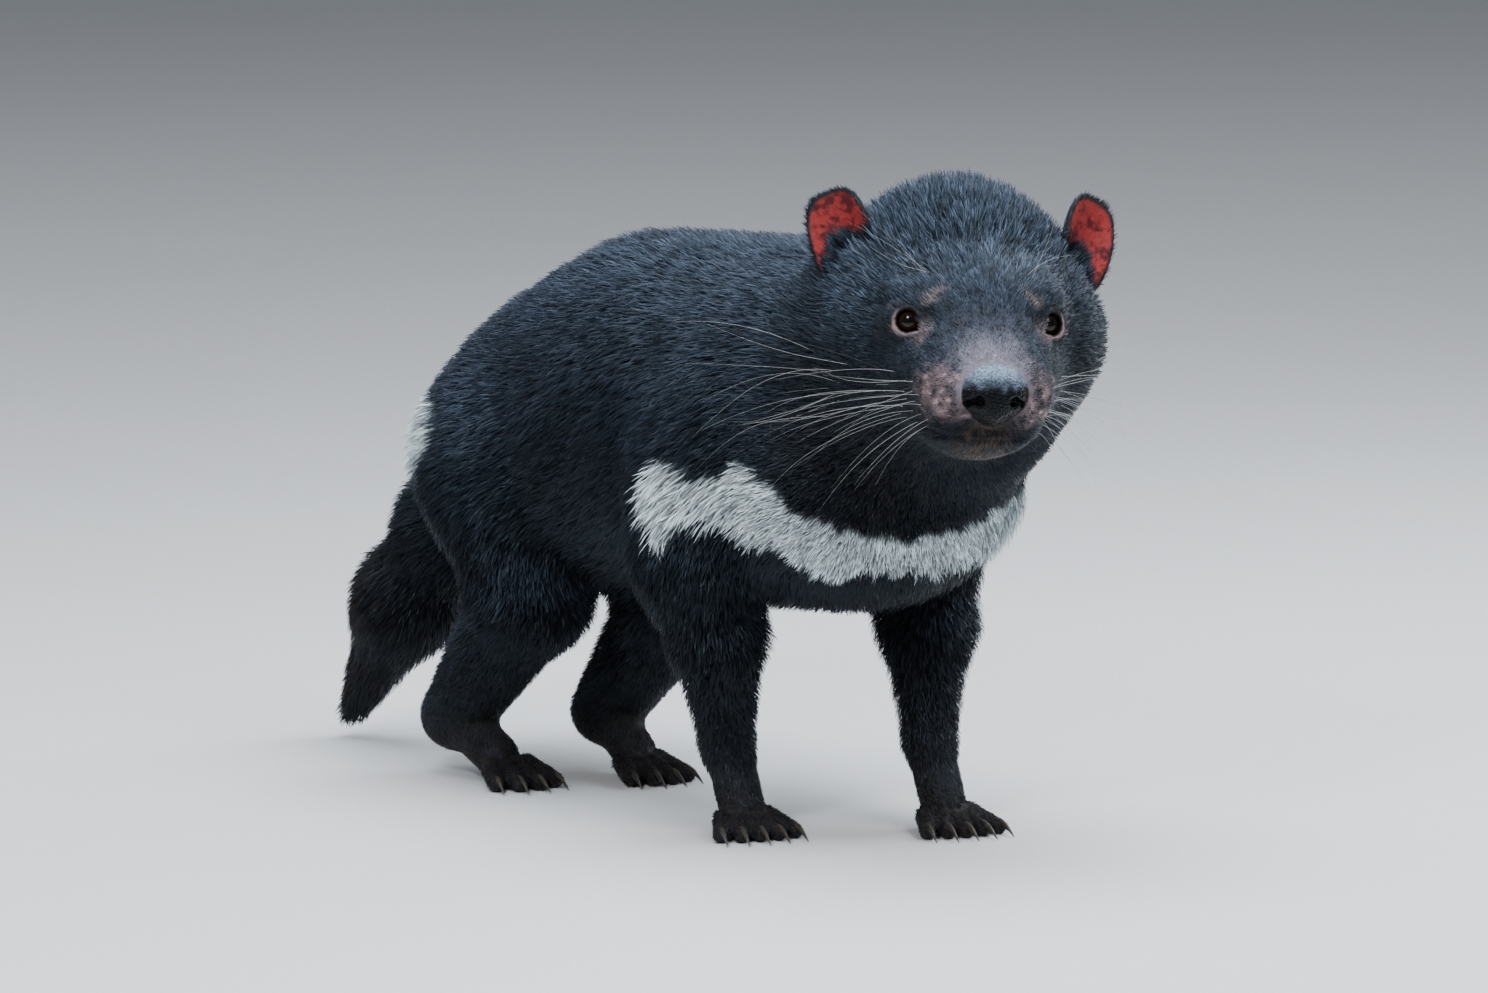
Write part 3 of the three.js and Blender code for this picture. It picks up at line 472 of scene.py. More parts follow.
def grid_values(distance, low, high, step, coarse):
    """Distances on an even grid, measured only near the surface and elsewhere just in or out."""
    blocks = np.ceil((np.array(high, float) - low) / (step * coarse)).astype(int)
    knots = [low[n] + np.arange(blocks[n] + 1) * step * coarse for n in range(3)]
    lattice = np.stack(np.meshgrid(*knots, indexing="ij"), -1).reshape(-1, 3)
    rough = distance(lattice).reshape(blocks + 1)
    nearest = np.min([np.abs(block) for block in corner_blocks(rough, blocks)], axis=0)
    is_near = nearest < step * coarse * 1.5
    values = np.where(rough[:-1, :-1, :-1] < 0, -1.0, 1.0).astype(np.float32)
    for axis in range(3):
        values = np.repeat(values, coarse, axis=axis)
        is_near = np.repeat(is_near, coarse, axis=axis)
    places = np.argwhere(is_near)
    for start in range(0, len(places), POINTS_AT_ONCE):
        part = places[start:start + POINTS_AT_ONCE]
        values[part[:, 0], part[:, 1], part[:, 2]] = distance(low + part * step)
    return values


def crossing_points(values, cells):
    """For each cell that the surface passes through, the middle of its crossings with the edges."""
    x, y, z = cells.T
    corner_values = [values[x + i, y + j, z + k] for i, j, k in CUBE_CORNERS]
    total = np.zeros((len(cells), 3))
    crossings = np.zeros(len(cells))
    for a in range(8):
        for bit in (1, 2, 4):
            if a & bit:
                continue
            va, vb = corner_values[a], corner_values[a | bit]
            crosses = (va < 0) != (vb < 0)
            t = np.where(crosses, va / np.where(crosses, va - vb, 1.0), 0.0)
            start = np.array(CUBE_CORNERS[a], float)
            run = np.array(CUBE_CORNERS[a | bit], float) - start
            total += np.where(crosses[:, None], start + t[:, None] * run, 0.0)
            crossings += crosses
    return cells + total / crossings[:, None]


def crossing_quads(inside, number, axis):
    """A quad round each grid edge along an axis that the surface cuts, facing outwards."""
    u, v = (axis + 1) % 3, (axis + 2) % 3
    first = [slice(1, n - 1) for n in inside.shape]
    second = list(first)
    first[axis] = slice(0, inside.shape[axis] - 1)
    second[axis] = slice(1, inside.shape[axis])
    a, b = inside[tuple(first)], inside[tuple(second)]
    offset = np.array([1, 1, 1])
    offset[axis] = 0
    back_u, back_v = np.eye(3, dtype=int)[[u, v]]
    quads = []
    for rising in (True, False):
        edges = np.argwhere((a & ~b) if rising else (~a & b)) + offset
        loop = [edges - back_u - back_v, edges - back_v, edges, edges - back_u]
        if not rising:
            loop.reverse()
        quads.append(np.stack([number[p[:, 0], p[:, 1], p[:, 2]] for p in loop], 1))
    return quads


def level_surface(distance, low, high, step, coarse=4):
    """Points and quads of the zero surface of a distance, on an even grid."""
    low = np.array(low, float)
    values = grid_values(distance, low, high, step, coarse)
    inside = values < 0
    size = np.array(values.shape) - 1
    count = np.sum(corner_blocks(inside, size), axis=0)
    cells = np.argwhere((count > 0) & (count < 8))
    number = np.full(size, -1, np.int32)
    number[cells[:, 0], cells[:, 1], cells[:, 2]] = np.arange(len(cells))
    points = low + crossing_points(values, cells) * step
    quads = [part for axis in range(3) for part in crossing_quads(inside, number, axis)]
    return points, np.concatenate(quads)


def slope_of(distance, points, reach=0.3):
    value = distance(points)
    slope = np.empty_like(points)
    for n in range(3):
        moved = points.copy()
        moved[:, n] += reach
        slope[:, n] = (distance(moved) - value) / reach
    return value, slope


def settle(distance, points, most, rounds=2):
    """Moves points on to the zero surface, by no more than the distance given."""
    start = points.copy()
    for _ in range(rounds):
        value, slope = slope_of(distance, points)
        size2 = (slope * slope).sum(1) + 1e-6
        points = points - slope * (value / size2)[:, None]
        shift = points - start
        length = np.linalg.norm(shift, axis=1, keepdims=True)
        points = start + shift * np.minimum(1.0, most / (length + 1e-9))
    return points


def split_faces(points, faces, chosen):
    """Splits each chosen quad in four; its neighbours take in the new points as extra corners."""
    sides = np.stack([faces, np.roll(faces, -1, axis=1)], -1)
    keys = np.sort(sides, axis=-1).reshape(-1, 2)
    code = keys[:, 0].astype(np.int64) * len(points) + keys[:, 1]
    marked = np.unique(code.reshape(faces.shape)[chosen])
    middles = (points[marked // len(points)] + points[marked % len(points)]) / 2
    place = np.searchsorted(marked, code)
    place = np.minimum(place, len(marked) - 1)
    has = marked[place] == code
    middle = np.where(has, len(points) + place, -1).reshape(faces.shape)
    centres = points[faces[chosen]].mean(1)
    centre = len(points) + len(marked) + np.arange(len(centres))
    corner, side = faces[chosen], middle[chosen]
    small = [np.stack([corner[:, k], side[:, k], centre, side[:, k - 1]], 1) for k in range(4)]
    rest = faces[~chosen]
    rest_middle = middle[~chosen]
    is_plain = (rest_middle < 0).all(1)
    mixed = [
        [int(v) for pair in zip(face, mids) for v in pair if v >= 0]
        for face, mids in zip(rest[~is_plain], rest_middle[~is_plain])
    ]
    points = np.concatenate([points, middles, centres])
    return points, np.concatenate([rest[is_plain], *small]), mixed


def in_model(points):
    """Metres in the model's frame from the animal's own millimetres."""
    return np.asarray(points, float) * MM + FRAME_SHIFT


def mesh_of(name, points, faces, extra_faces=()):
    """A mesh from points in millimetres, an array of like faces and a list of odd ones."""
    mesh = bpy.data.meshes.new(name)
    mesh.vertices.add(len(points))
    mesh.vertices.foreach_set("co", in_model(points).astype(np.float32).ravel())
    width = faces.shape[1]
    loops = faces.ravel()
    starts = np.arange(len(faces)) * width
    if len(extra_faces):
        sizes = np.array([len(f) for f in extra_faces])
        starts = np.concatenate([starts, len(loops) + np.concatenate([[0], np.cumsum(sizes)[:-1]])])
        loops = np.concatenate([loops, np.concatenate([np.array(f) for f in extra_faces])])
    mesh.loops.add(len(loops))
    mesh.loops.foreach_set("vertex_index", loops.astype(np.int32))
    mesh.polygons.add(len(starts))
    mesh.polygons.foreach_set("loop_start", starts.astype(np.int32))
    mesh.update(calc_edges=True)
    mesh.validate()
    return mesh


def new_piece(name, mesh, materials):
    piece = bpy.data.objects.new(name, mesh)
    bpy.context.scene.collection.objects.link(piece)
    for material in materials:
        mesh.materials.append(material)
    mesh.shade_smooth()
    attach(piece, "root")
    return piece


# Colours, as linear red, green and blue. The ones that the panel offers are its defaults.
BROW_SKIN = np.array([0.150, 0.118, 0.112])
LID_FUR = np.array([0.060, 0.058, 0.064])
# Painted sheen for the top of the rump, where the light from above falls on the coat.
RUMP_SHEEN_GREY = np.array([0.092, 0.086, 0.104])
EAR_DARK = np.array([0.050, 0.007, 0.009])
NOSE_BLACK = np.array([0.0035, 0.0034, 0.0036])
NOSE_SHEEN = np.array([0.150, 0.200, 0.270])
PAW_SKIN = np.array([0.022, 0.019, 0.019])


def look(name):
    """A size or colour from the panel."""
    value = getattr(bpy.context.scene.devil_look, name)
    return value if isinstance(value, float) else np.array(value)


def toned(colour, base, share):
    return colour + (base - colour) * np.clip(share, 0.0, 1.0)[:, None]


# The white chest band: way round the chest in degrees, then its lower and upper edges in millimetres.
CHEST_BAND = np.array([
    (-107, 180, 182), (-101, 172, 204), (-96, 166, 206), (-86, 176, 197), (-78, 178, 193), (-70, 172, 200),
    (-62, 166, 207), (-50, 163, 193), (-42, 156, 182), (-33, 147, 176), (-24, 146, 170), (-14, 152, 166),
    (5, 149, 171), (26, 156, 187), (50, 165, 194), (70, 174, 199), (84, 188, 191),
], float)


def band_share(points):
    """How white the coat is: a ragged band round the chest and a patch on each side of the rump."""
    wobble = 2.6 * soft_noise(points, 14.0, 3) + 4.2 * soft_noise(points * [1.0, 1.0, 0.3], 4.5, 4)
    turn = np.degrees(np.arctan2(points[:, 1], points[:, 0] - 100.0))
    low = np.interp(turn, CHEST_BAND[:, 0], CHEST_BAND[:, 1])
    high = np.interp(turn, CHEST_BAND[:, 0], CHEST_BAND[:, 2])
    inside = np.minimum(points[:, 2] - low, high - points[:, 2]) + wobble
    inside = np.minimum(inside, np.minimum(turn + 107.0, 84.0 - turn) * 1.4)
    chest = smooth_step(inside, -1.5, 2.0) * (points[:, 0] > 30.0)
    behind = np.degrees(np.arctan2(np.abs(points[:, 1]), -points[:, 0] - 95.0))
    rump_middle = 186.0 + 0.10 * behind
    rump_half = 17.0 * smooth_step(behind, 14.0, 34.0) * (1.0 - smooth_step(behind, 58.0, 76.0))
    rump_off = np.abs(points[:, 2] - rump_middle + wobble * 0.8)
    rump = (1.0 - smooth_step(rump_off, rump_half - 2.5, rump_half + 2.5)) * (points[:, 0] < -120.0)
    return np.clip(np.maximum(chest, rump * (rump_half > 2.0)), 0.0, 1.0)


def coat_colour(points, normals):
    """Black coat, browner below and behind, with a painted cool sheen where it faces up and on top of the
    rump, and painted shade on the throat.
    """
    # Parts that face up are toned towards the slate colour: a painted cool sheen of the light from above.
    up = smooth_step(normals[:, 2] + 0.2 * soft_noise(points, 30.0, 5), -0.3, 1.0)
    colour = toned(np.tile(look("coat_black"), (len(points), 1)), look("coat_slate"), up)
    brown = smooth_step(-points[:, 0], 185.0, 255.0) * 0.95
    throat = smooth_step(points[:, 0], 120.0, 190.0) * (1.0 - smooth_step(points[:, 2], 215.0, 240.0))
    brown = np.maximum(brown, 0.75 * throat)
    brown = np.maximum(brown, 0.35 * (1.0 - smooth_step(points[:, 2], 70.0, 150.0)))
    brown = brown + 0.2 * soft_noise(points, 45.0, 6)
    # Beyond its brown, the throat under the head is darkened by a third: painted shade.
    colour = toned(colour, look("coat_brown"), brown) * (1.0 - 0.35 * throat)[:, None]
    # A lighter grey on top of the rump: painted sheen.
    rump = smooth_step(-points[:, 0], 90.0, 175.0) * smooth_step(points[:, 2], 215.0, 265.0)
    colour = toned(colour, RUMP_SHEEN_GREY, 0.8 * rump)
    colour = colour * (1.0 + 0.2 * soft_noise(points, 12.0, 7))[:, None]
    return toned(colour, look("band_white"), band_share(points))


def pad_share(heads):
    """The two whisker pads of the muzzle, from 0 to 1."""
    x, y, z = heads.T
    off = np.sqrt(((x - 82.0) / 22.0) ** 2 + ((np.abs(y) - 15.5) / 19.0) ** 2 + ((z + 32.0) / 18.5) ** 2)
    ragged = 0.10 * soft_noise(heads, 6.0, 21) + 0.10 * soft_noise(heads, 2.5, 22)
    return (1.0 - smooth_step(off + ragged, 0.72, 1.18)) * (x > 50.0)


DOT_GAP = 4.4


def pad_dots(heads):
    """Rows of small swellings on the pads, from which the whiskers grow."""
    x, y, z = heads.T
    along = 26.0 * np.arctan2(np.abs(y), x - 66.0)
    across = z + 0.28 * along
    row = np.round(across / DOT_GAP)
    along = along + 0.5 * DOT_GAP * (row % 2)
    place = np.round(along / DOT_GAP)
    cell = np.stack([place, row, np.sign(y)], 1)
    off_along = along - DOT_GAP * place + 0.3 * dice(cell, 31)
    off_across = across - DOT_GAP * row + 0.3 * dice(cell, 32)
    off = np.hypot(off_along, off_across)
    return np.exp(-((off / 1.1) ** 2)) * smooth_step(pad_share(heads), 0.45, 0.9) * (np.abs(y) > 9.0)


def bridge_share(heads):
    """The short-haired top of the muzzle, from between the eyes to the nose."""
    x, y, z = heads.T
    wide = 1.0 - smooth_step(np.abs(y) + 2.0 * soft_noise(heads, 6.0, 23), 8.0, 29.0)
    below_eyes = 1.0 - smooth_step(z + 2.0 * soft_noise(heads, 5.0, 25), -18.0, 14.0)
    return wide * smooth_step(x, 50.0, 82.0) * smooth_step(z, -42.0, -28.0) * below_eyes


def chin_share(heads):
    """The lips and the short-haired chin below them."""
    x, y, z = heads.T
    middle = 1.0 - smooth_step(np.abs(y) + 2.5 * soft_noise(heads, 5.0, 26), 8.0, 18.0)
    ahead = smooth_step(x + 3.0 * soft_noise(heads, 6.0, 24), 60.0, 76.0)
    return middle * ahead * smooth_step(-z, 43.0, 52.0)


def brow_share(heads, side):
    """A thin-haired streak that runs up and inwards from each eye."""
    _, inward, up = lid_places(heads, side)
    along = (inward - 13.5 + up - 12.5) / 1.4142
    off = (up - 12.5 - inward + 13.5) / 1.4142
    streak = np.sqrt((along / 8.5) ** 2 + (off / 3.4) ** 2) + 0.35 * soft_noise(heads, 2.4, 15)
    return (1.0 - smooth_step(streak, 0.45, 1.15)) * (heads[:, 0] > 30.0)


def ear_shares(heads):
    """For each point, how far it is inside an ear's cup and on its outer side, from 0 to 1."""
    cup_share = np.zeros(len(heads))
    back_share = np.zeros(len(heads))
    for side in SIDES:
        local, rim, cup = ear_places(heads, side)
        on_ear = (1.0 - smooth_step(rim, 1.05, 1.15)) * (np.abs(local[:, 0] - cup + 1.5) < 7.0)
        proud = smooth_step(from_ear_root(heads, side), 26.0, 34.0)
        is_front = smooth_step(local[:, 0] - cup, -1.6, -0.6)
        by_crown = np.hypot(local[:, 1] * side + 15.0, 0.7 * (local[:, 2] + 9.0))
        by_crown = by_crown + 1.5 * soft_noise(heads, 4.0, 27)
        inner = (1.0 - smooth_step(rim, 0.86, 0.96)) * smooth_step(by_crown, 6.0, 11.0)
        cup_share = np.maximum(cup_share, on_ear * is_front * inner * proud)
        back_share = np.maximum(back_share, on_ear * proud * (1.0 - is_front * inner))
    return cup_share, back_share


def eye_places(heads, side):
    """Distance from the opening of an eye, the ways inward and up, and whether a point faces out there."""
    out, inward, up = lid_places(heads, side)
    from_eye = np.linalg.norm(heads - eye_centre(side), axis=1)
    return lid_opening(inward, up), inward, up, (out > 0) & (from_eye < 24.0)


def face_colour(colour, points, heads):
    """Lays the muzzle, lids, brows and lips over the colour of the coat, with a painted sheen on the muzzle
    top and painted shade by the inner corners of the eyes.
    """
    x, _, z = heads.T
    mottle = (1.0 + 0.25 * soft_noise(points, 2.2, 12) + 0.2 * soft_noise(points, 7.0, 13))[:, None]
    # The top of the muzzle takes a grey for its short hair with a painted cool sheen, painted brighter
    # towards the nose.
    pale = 1.0 + 0.9 * smooth_step(x, 84.0, 98.0)
    colour = toned(colour, look("face_grey_and_sheen") * mottle * pale[:, None], 0.9 * bridge_share(heads))
    colour = toned(colour, look("muzzle_skin") * (0.6 + 0.35 * mottle), pad_share(heads))
    colour = toned(colour, look("muzzle_skin") * 2.6, 0.95 * pad_dots(heads))
    colour = toned(colour, look("chin_skin") * mottle, chin_share(heads))
    for side in SIDES:
        opening, inward, up, facing = eye_places(heads, side)
        ragged = 1.0 * soft_noise(points, 2.6, 14)
        above = smooth_step(up + 0.5 * inward, -3.0, 5.0)
        ring = (1.0 - smooth_step(opening + ragged, 1.3, 3.4)) * facing
        tear = (1.0 - smooth_step(np.hypot(inward - 10.0, 0.8 * (up + 6.5)) + ragged, 3.0, 8.0)) * facing
        # Dark spots by the inner corners of the eyes: painted shade in the hollows there.
        hollow_shade = (1.0 - smooth_step(np.hypot(inward - 11.5, 1.3 * (up - 3.5)) + ragged, 2.5, 8.0)) * facing
        colour = toned(colour, look("coat_black") * 0.5, 0.9 * hollow_shade)
        colour = toned(colour, LID_FUR * mottle, ring * above)
        bare = np.maximum(ring * (1.0 - above), 0.5 * tear)
        colour = toned(colour, look("lid_skin") * mottle, bare)
        corner = smooth_step(inward, 4.4, 5.8) * (1.0 - above)
        lash = (1.0 - smooth_step(opening, 0.4, 0.9 + 1.3 * above)) * facing * (1.0 - 0.7 * corner)
        colour = toned(colour, look("chin_skin") * 0.15, lash)
        colour = toned(colour, BROW_SKIN * mottle, 0.85 * brow_share(heads, side))
    lip = np.exp(-(((z - mouth_height(x)) / 0.8) ** 2)) * smooth_step(x, 84, 97)
    return toned(colour, look("chin_skin") * 0.45, 0.7 * lip)


def skin_colour(points, normals):
    heads = to_head(points)
    colour = coat_colour(points, normals) * 0.7
    head = points[:, 0] > 150.0
    colour[head] = face_colour(colour[head], points[head], heads[head])
    nose = 1.0 - smooth_step(melt(NOSE, heads), 0.3, 1.1)
    # The top of the nose is toned towards the sheen colour: a painted reflection of the light above, over a
    # black nose.
    upper = smooth_step(heads[:, 2] + 2.5 * soft_noise(heads, 3.0, 28), -30.0, -17.0)
    nose_tone = toned(np.tile(NOSE_BLACK, (len(points), 1)), NOSE_SHEEN, upper)
    colour = toned(colour, nose_tone, nose * head)
    cup_share, back_share = ear_shares(heads)
    blotch = smooth_step(soft_noise(points, 5.0, 16) + 0.8 * soft_noise(points, 2.0, 17), -0.1, 0.7)
    low = 1.0 + 0.5 * smooth_step(-heads[:, 2], -34.0, -20.0)
    ear_tone = toned(look("ear_red") * low[:, None], EAR_DARK, 0.85 * blotch)
    colour = toned(colour, look("coat_black"), back_share)
    colour = toned(colour, ear_tone, cup_share)
    foot = 1.0 - smooth_step(points[:, 2] + 6.0 * soft_noise(points, 10.0, 18), 18.0, 40.0)
    foot = foot * (points[:, 0] > -215.0)
    mottle = 1.0 + 0.3 * soft_noise(points, 4.0, 19)
    return toned(colour, PAW_SKIN * mottle[:, None], foot)


# Materials: procedural patterns laid over the tint that each mesh carries.
def new_material(name, **values):
    """A material with the shader's own values set, and its tree and shader."""
    material = bpy.data.materials.new(name)
    material.use_nodes = True
    tree = material.node_tree
    shader = tree.nodes["Principled BSDF"]
    for socket, value in values.items():
        shader.inputs[socket.replace("_", " ")].default_value = value
    return material, tree, shader


def add_node(tree, kind, **values):
    node = tree.nodes.new(kind)
    for name, value in values.items():
        if name in node.inputs:
            node.inputs[name].default_value = value
        else:
            setattr(node, name, value)
    return node


def add_texture(tree, kind, **values):
    """A texture laid over the piece's own place."""
    texture = add_node(tree, kind, **values)
    place = tree.nodes.new("ShaderNodeTexCoord")
    tree.links.new(place.outputs["Object"], texture.inputs["Vector"])
    return texture


def ramp_over(tree, height, low, high, low_at=0.0, high_at=1.0):
    """Turns a height into colours between two."""
    ramp = tree.nodes.new("ShaderNodeValToRGB")
    first, last = ramp.color_ramp.elements
    first.position = low_at
    first.color = (*low, 1)
    last.position = high_at
    last.color = (*high, 1)
    tree.links.new(height, ramp.inputs["Fac"])
    return ramp.outputs["Color"]


def tint_with(tree, shader, pattern, share=1.0):
    """Multiplies the mesh's own tint by a pattern."""
    tint = tree.nodes.new("ShaderNodeVertexColor")
    tint.layer_name = "Tint"
    tone = add_node(tree, "ShaderNodeMix", data_type="RGBA", blend_type="MULTIPLY")
    tone.inputs[0].default_value = share
    tree.links.new(tint.outputs["Color"], tone.inputs[6])
    tree.links.new(pattern, tone.inputs[7])
    tree.links.new(tone.outputs[2], shader.inputs["Base Color"])


def bump_chain(tree, shader, layers):
    """Adds bumps of several sizes; each layer is a texture output, a strength and a depth."""
    last = None
    for height, strength, depth in layers:
        bump = add_node(tree, "ShaderNodeBump", Strength=strength, Distance=depth)
        tree.links.new(height, bump.inputs["Height"])
        if last is not None:
            tree.links.new(last.outputs["Normal"], bump.inputs["Normal"])
        last = bump
    tree.links.new(last.outputs["Normal"], shader.inputs["Normal"])


def skin_material():
    material, tree, shader = new_material(
        "skin_hide", Roughness=0.6, Specular_IOR_Level=0.16, Subsurface_Weight=0.08,
        Subsurface_Radius=(0.004, 0.0015, 0.001),
    )
    pores = add_texture(tree, "ShaderNodeTexVoronoi", Scale=900.0)
    grain = add_texture(tree, "ShaderNodeTexNoise", Scale=520.0, Detail=4.0)
    pattern = ramp_over(tree, grain.outputs["Fac"], (0.45, 0.42, 0.42), (1.25, 1.2, 1.2), 0.3, 0.7)
    tint_with(tree, shader, pattern, 0.35)
    bump_chain(tree, shader, [(pores.outputs["Distance"], 0.35, 0.0004), (grain.outputs["Fac"], 0.4, 0.0005)])
    return material


def nose_material():
    """Wet pebbled skin."""
    material, tree, shader = new_material(
        "wet_nose", Roughness=0.07, Specular_IOR_Level=0.10, Specular_Tint=(0.8, 0.9, 1.0, 1),
    )
    pebbles = add_texture(tree, "ShaderNodeTexVoronoi", Scale=760.0, Randomness=0.9)
    fine = add_texture(tree, "ShaderNodeTexNoise", Scale=1500.0, Detail=2.0)
    tint_with(tree, shader, ramp_over(tree, pebbles.outputs["Distance"], (0.4, 0.4, 0.4), (1.9, 1.9, 1.9)))
    bump_chain(tree, shader, [(pebbles.outputs["Distance"], 0.8, 0.0008), (fine.outputs["Fac"], 0.2, 0.0002)])
    return material


def coat_material():
    """Hair with a faint cool gloss and slow patches of tone."""
    material, tree, shader = new_material(
        "coat_hair", Roughness=0.38, Specular_IOR_Level=0.22, Specular_Tint=(0.55, 0.76, 1.0, 1),
        Sheen_Weight=0.05, Sheen_Roughness=0.4, Sheen_Tint=(0.6, 0.75, 1.0, 1),
    )
    patches = add_texture(tree, "ShaderNodeTexNoise", Scale=60.0, Detail=3.0)
    tint_with(tree, shader, ramp_over(tree, patches.outputs["Fac"], (0.75,) * 3, (1.2,) * 3, 0.3, 0.7))
    return material


def eye_material():
    """A dark brown iris round a wide pupil, under a wet clear coat."""
    material, tree, shader = new_material(
        "eye_wet_brown", Roughness=0.1, Specular_IOR_Level=0.05, Coat_Weight=0.5, Coat_Roughness=0.015,
    )
    streaks = add_texture(tree, "ShaderNodeTexNoise", Scale=900.0, Detail=3.0)
    tint_with(tree, shader, ramp_over(tree, streaks.outputs["Fac"], (0.5, 0.5, 0.5), (1.5, 1.4, 1.3)))
    return material


def claw_material():
    material, tree, shader = new_material("claw_horn", Roughness=0.38)
    grain = add_texture(tree, "ShaderNodeTexNoise", Scale=700.0, Detail=4.0, Roughness=0.7)
    horn = ramp_over(tree, grain.outputs["Fac"], (0.020, 0.015, 0.012), (0.10, 0.082, 0.065), 0.35, 0.75)
    tree.links.new(horn, shader.inputs["Base Color"])
    bump_chain(tree, shader, [(grain.outputs["Fac"], 0.3, 0.0002)])
    return material


def whisker_material(name, colour):
    material, tree, shader = new_material(name, Roughness=0.35)
    tone = add_texture(tree, "ShaderNodeTexNoise", Scale=120.0, Detail=2.0)
    shaded = tuple(c * 0.7 for c in colour)
    tree.links.new(ramp_over(tree, tone.outputs["Fac"], shaded, colour), shader.inputs["Base Color"])
    return material


def paper_material():
    """Pale paper with a faint grain, for the floor."""
    material, tree, shader = new_material("studio_paper", Roughness=0.95, Specular_IOR_Level=0.1)
    grain = add_texture(tree, "ShaderNodeTexNoise", Scale=3.0, Detail=3.0)
    paper = ramp_over(tree, grain.outputs["Fac"], (0.76, 0.77, 0.78), (0.80, 0.81, 0.82))
    tree.links.new(paper, shader.inputs["Base Color"])
    return material


FLESH_NODES = ["torso", "neck", "head", "nose", "ear_left", "ear_right", "tail_base", "tail_tip"]
FLESH_NODES += [f"{leg}_{length}" for leg in LEGS for length in ("upper", "lower", "paw")]
SKIN_STEP = 1.6
SKIN_LOW = (-302.0, -110.0, -4.8)
SKIN_HIGH = (332.0, 112.0, 362.0)


def set_tint(mesh, colours):
    attribute = mesh.color_attributes.new("Tint", "FLOAT_COLOR", "POINT")
    rgba = np.ones((len(colours), 4), np.float32)
    rgba[:, :3] = colours
    attribute.data.foreach_set("color", rgba.ravel())


def needs_detail(points):
    """Around the eyes, nose, lips and ears, where the skin takes a finer mesh."""
    heads = to_head(points)
    chosen = heads[:, 0] > 62.0
    for side in SIDES:
        chosen |= np.linalg.norm(heads - eye_centre(side), axis=1) < 17.0
        chosen |= np.linalg.norm(heads - EAR_CENTRE[side], axis=1) < 36.0
    return chosen & (points[:, 0] > 150.0)


def build_skin():
    points, faces = level_surface(skin_surface, SKIN_LOW, SKIN_HIGH, SKIN_STEP)
    points = settle(skin_surface, points, 0.9)
    points, faces, mixed = split_faces(points, faces, needs_detail(points[faces].mean(1)))
    fine = needs_detail(points)
    points[fine] = settle(skin_surface, points[fine], 0.5)
    normals = unit(slope_of(skin_surface, points)[1])
    mesh = mesh_of("skin", points, faces, mixed)
    set_tint(mesh, skin_colour(points, normals))
    skin = new_piece("skin", mesh, [skin_material(), nose_material()])
    count = len(mesh.polygons)
    first = np.zeros(count, np.int32)
    mesh.polygons.foreach_get("loop_start", first)
    corner = np.zeros(len(mesh.loops), np.int32)
    mesh.loops.foreach_get("vertex_index", corner)
    heads = to_head(points[corner[first]])
    is_nose = (melt(NOSE, heads) < 0.7) & (heads[:, 0] > 80.0)
    mesh.polygons.foreach_set("material_index", is_nose.astype(np.int32))
    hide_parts(*FLESH_NODES)


# Eyes, claws and whiskers.
def ring_quads(base, rows, around):
    """Quads between neighbouring rings of points, the first point having the number base."""
    quads = []
    for i in range(rows):
        for k in range(around):
            a = base + i * around + k
            b = base + i * around + (k + 1) % around
            quads.append((a, b, b + around, a + around))
    return quads


def ball_mesh(name, centre, axis, profile, rings, around):
    """A round body turned about an axis; profile gives out and radius for each ring."""
    axis = unit(np.asarray(axis, float))
    side = unit(np.cross(axis, [0.0, 0.0, 1.0]))
    up = np.cross(side, axis)
    turn = 2 * np.pi * np.arange(around) / around
    circle = np.cos(turn)[:, None] * side + np.sin(turn)[:, None] * up
    points = [centre + axis * profile(0)[0]]
    for i in range(1, rings):
        out, radius = profile(i / rings)
        points.extend(centre + axis * out + circle * radius)
    points.append(centre + axis * profile(1)[0])
    quads = [(a, d, c, b) for a, b, c, d in ring_quads(1, rings - 2, around)]
    caps = []
    last = len(points) - 1
    for k in range(around):
        caps.append((0, 1 + k, 1 + (k + 1) % around))
        base = 1 + (rings - 2) * around
        caps.append((last, base + (k + 1) % around, base + k))
    return mesh_of(name, np.array(points), np.array(quads), caps)


EYE_DARK = np.array([0.0035, 0.0025, 0.0022])
SCLERA = np.array([0.022, 0.012, 0.010])


def build_eyes():
    material = eye_material()
    for side in SIDES:
        head_axis = eye_axis(side)
        centre = from_head(eye_centre(side))
        axis = head_axis @ HEAD_TURN.T

        def profile(share):
            angle = math.pi * share
            bulge = 0.55 * math.exp(-((angle / 0.62) ** 4))
            radius = EYE_RADIUS - 0.12 + bulge
            return radius * math.cos(angle), radius * math.sin(angle)

        mesh = ball_mesh(f"eye_ball_{SIDE_NAMES[side]}", centre, axis, profile, 40, 48)
        points = np.zeros(len(mesh.vertices) * 3)
        mesh.vertices.foreach_get("co", points)
        local = unit((points.reshape(-1, 3) - FRAME_SHIFT) / MM - centre)
        angle = np.degrees(np.arccos(np.clip(local @ unit(axis), -1, 1)))
        colour = toned(np.tile(EYE_DARK, (len(angle), 1)), look("iris_brown"), smooth_step(angle, 19.0, 23.0))
        colour = toned(colour, EYE_DARK, smooth_step(angle, 36.0, 41.0))
        colour = toned(colour, SCLERA, smooth_step(angle, 44.0, 50.0))
        set_tint(mesh, colour)
        eye = new_piece(f"eye_ball_{SIDE_NAMES[side]}", mesh, [material])
        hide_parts(f"eye_{SIDE_NAMES[side]}")


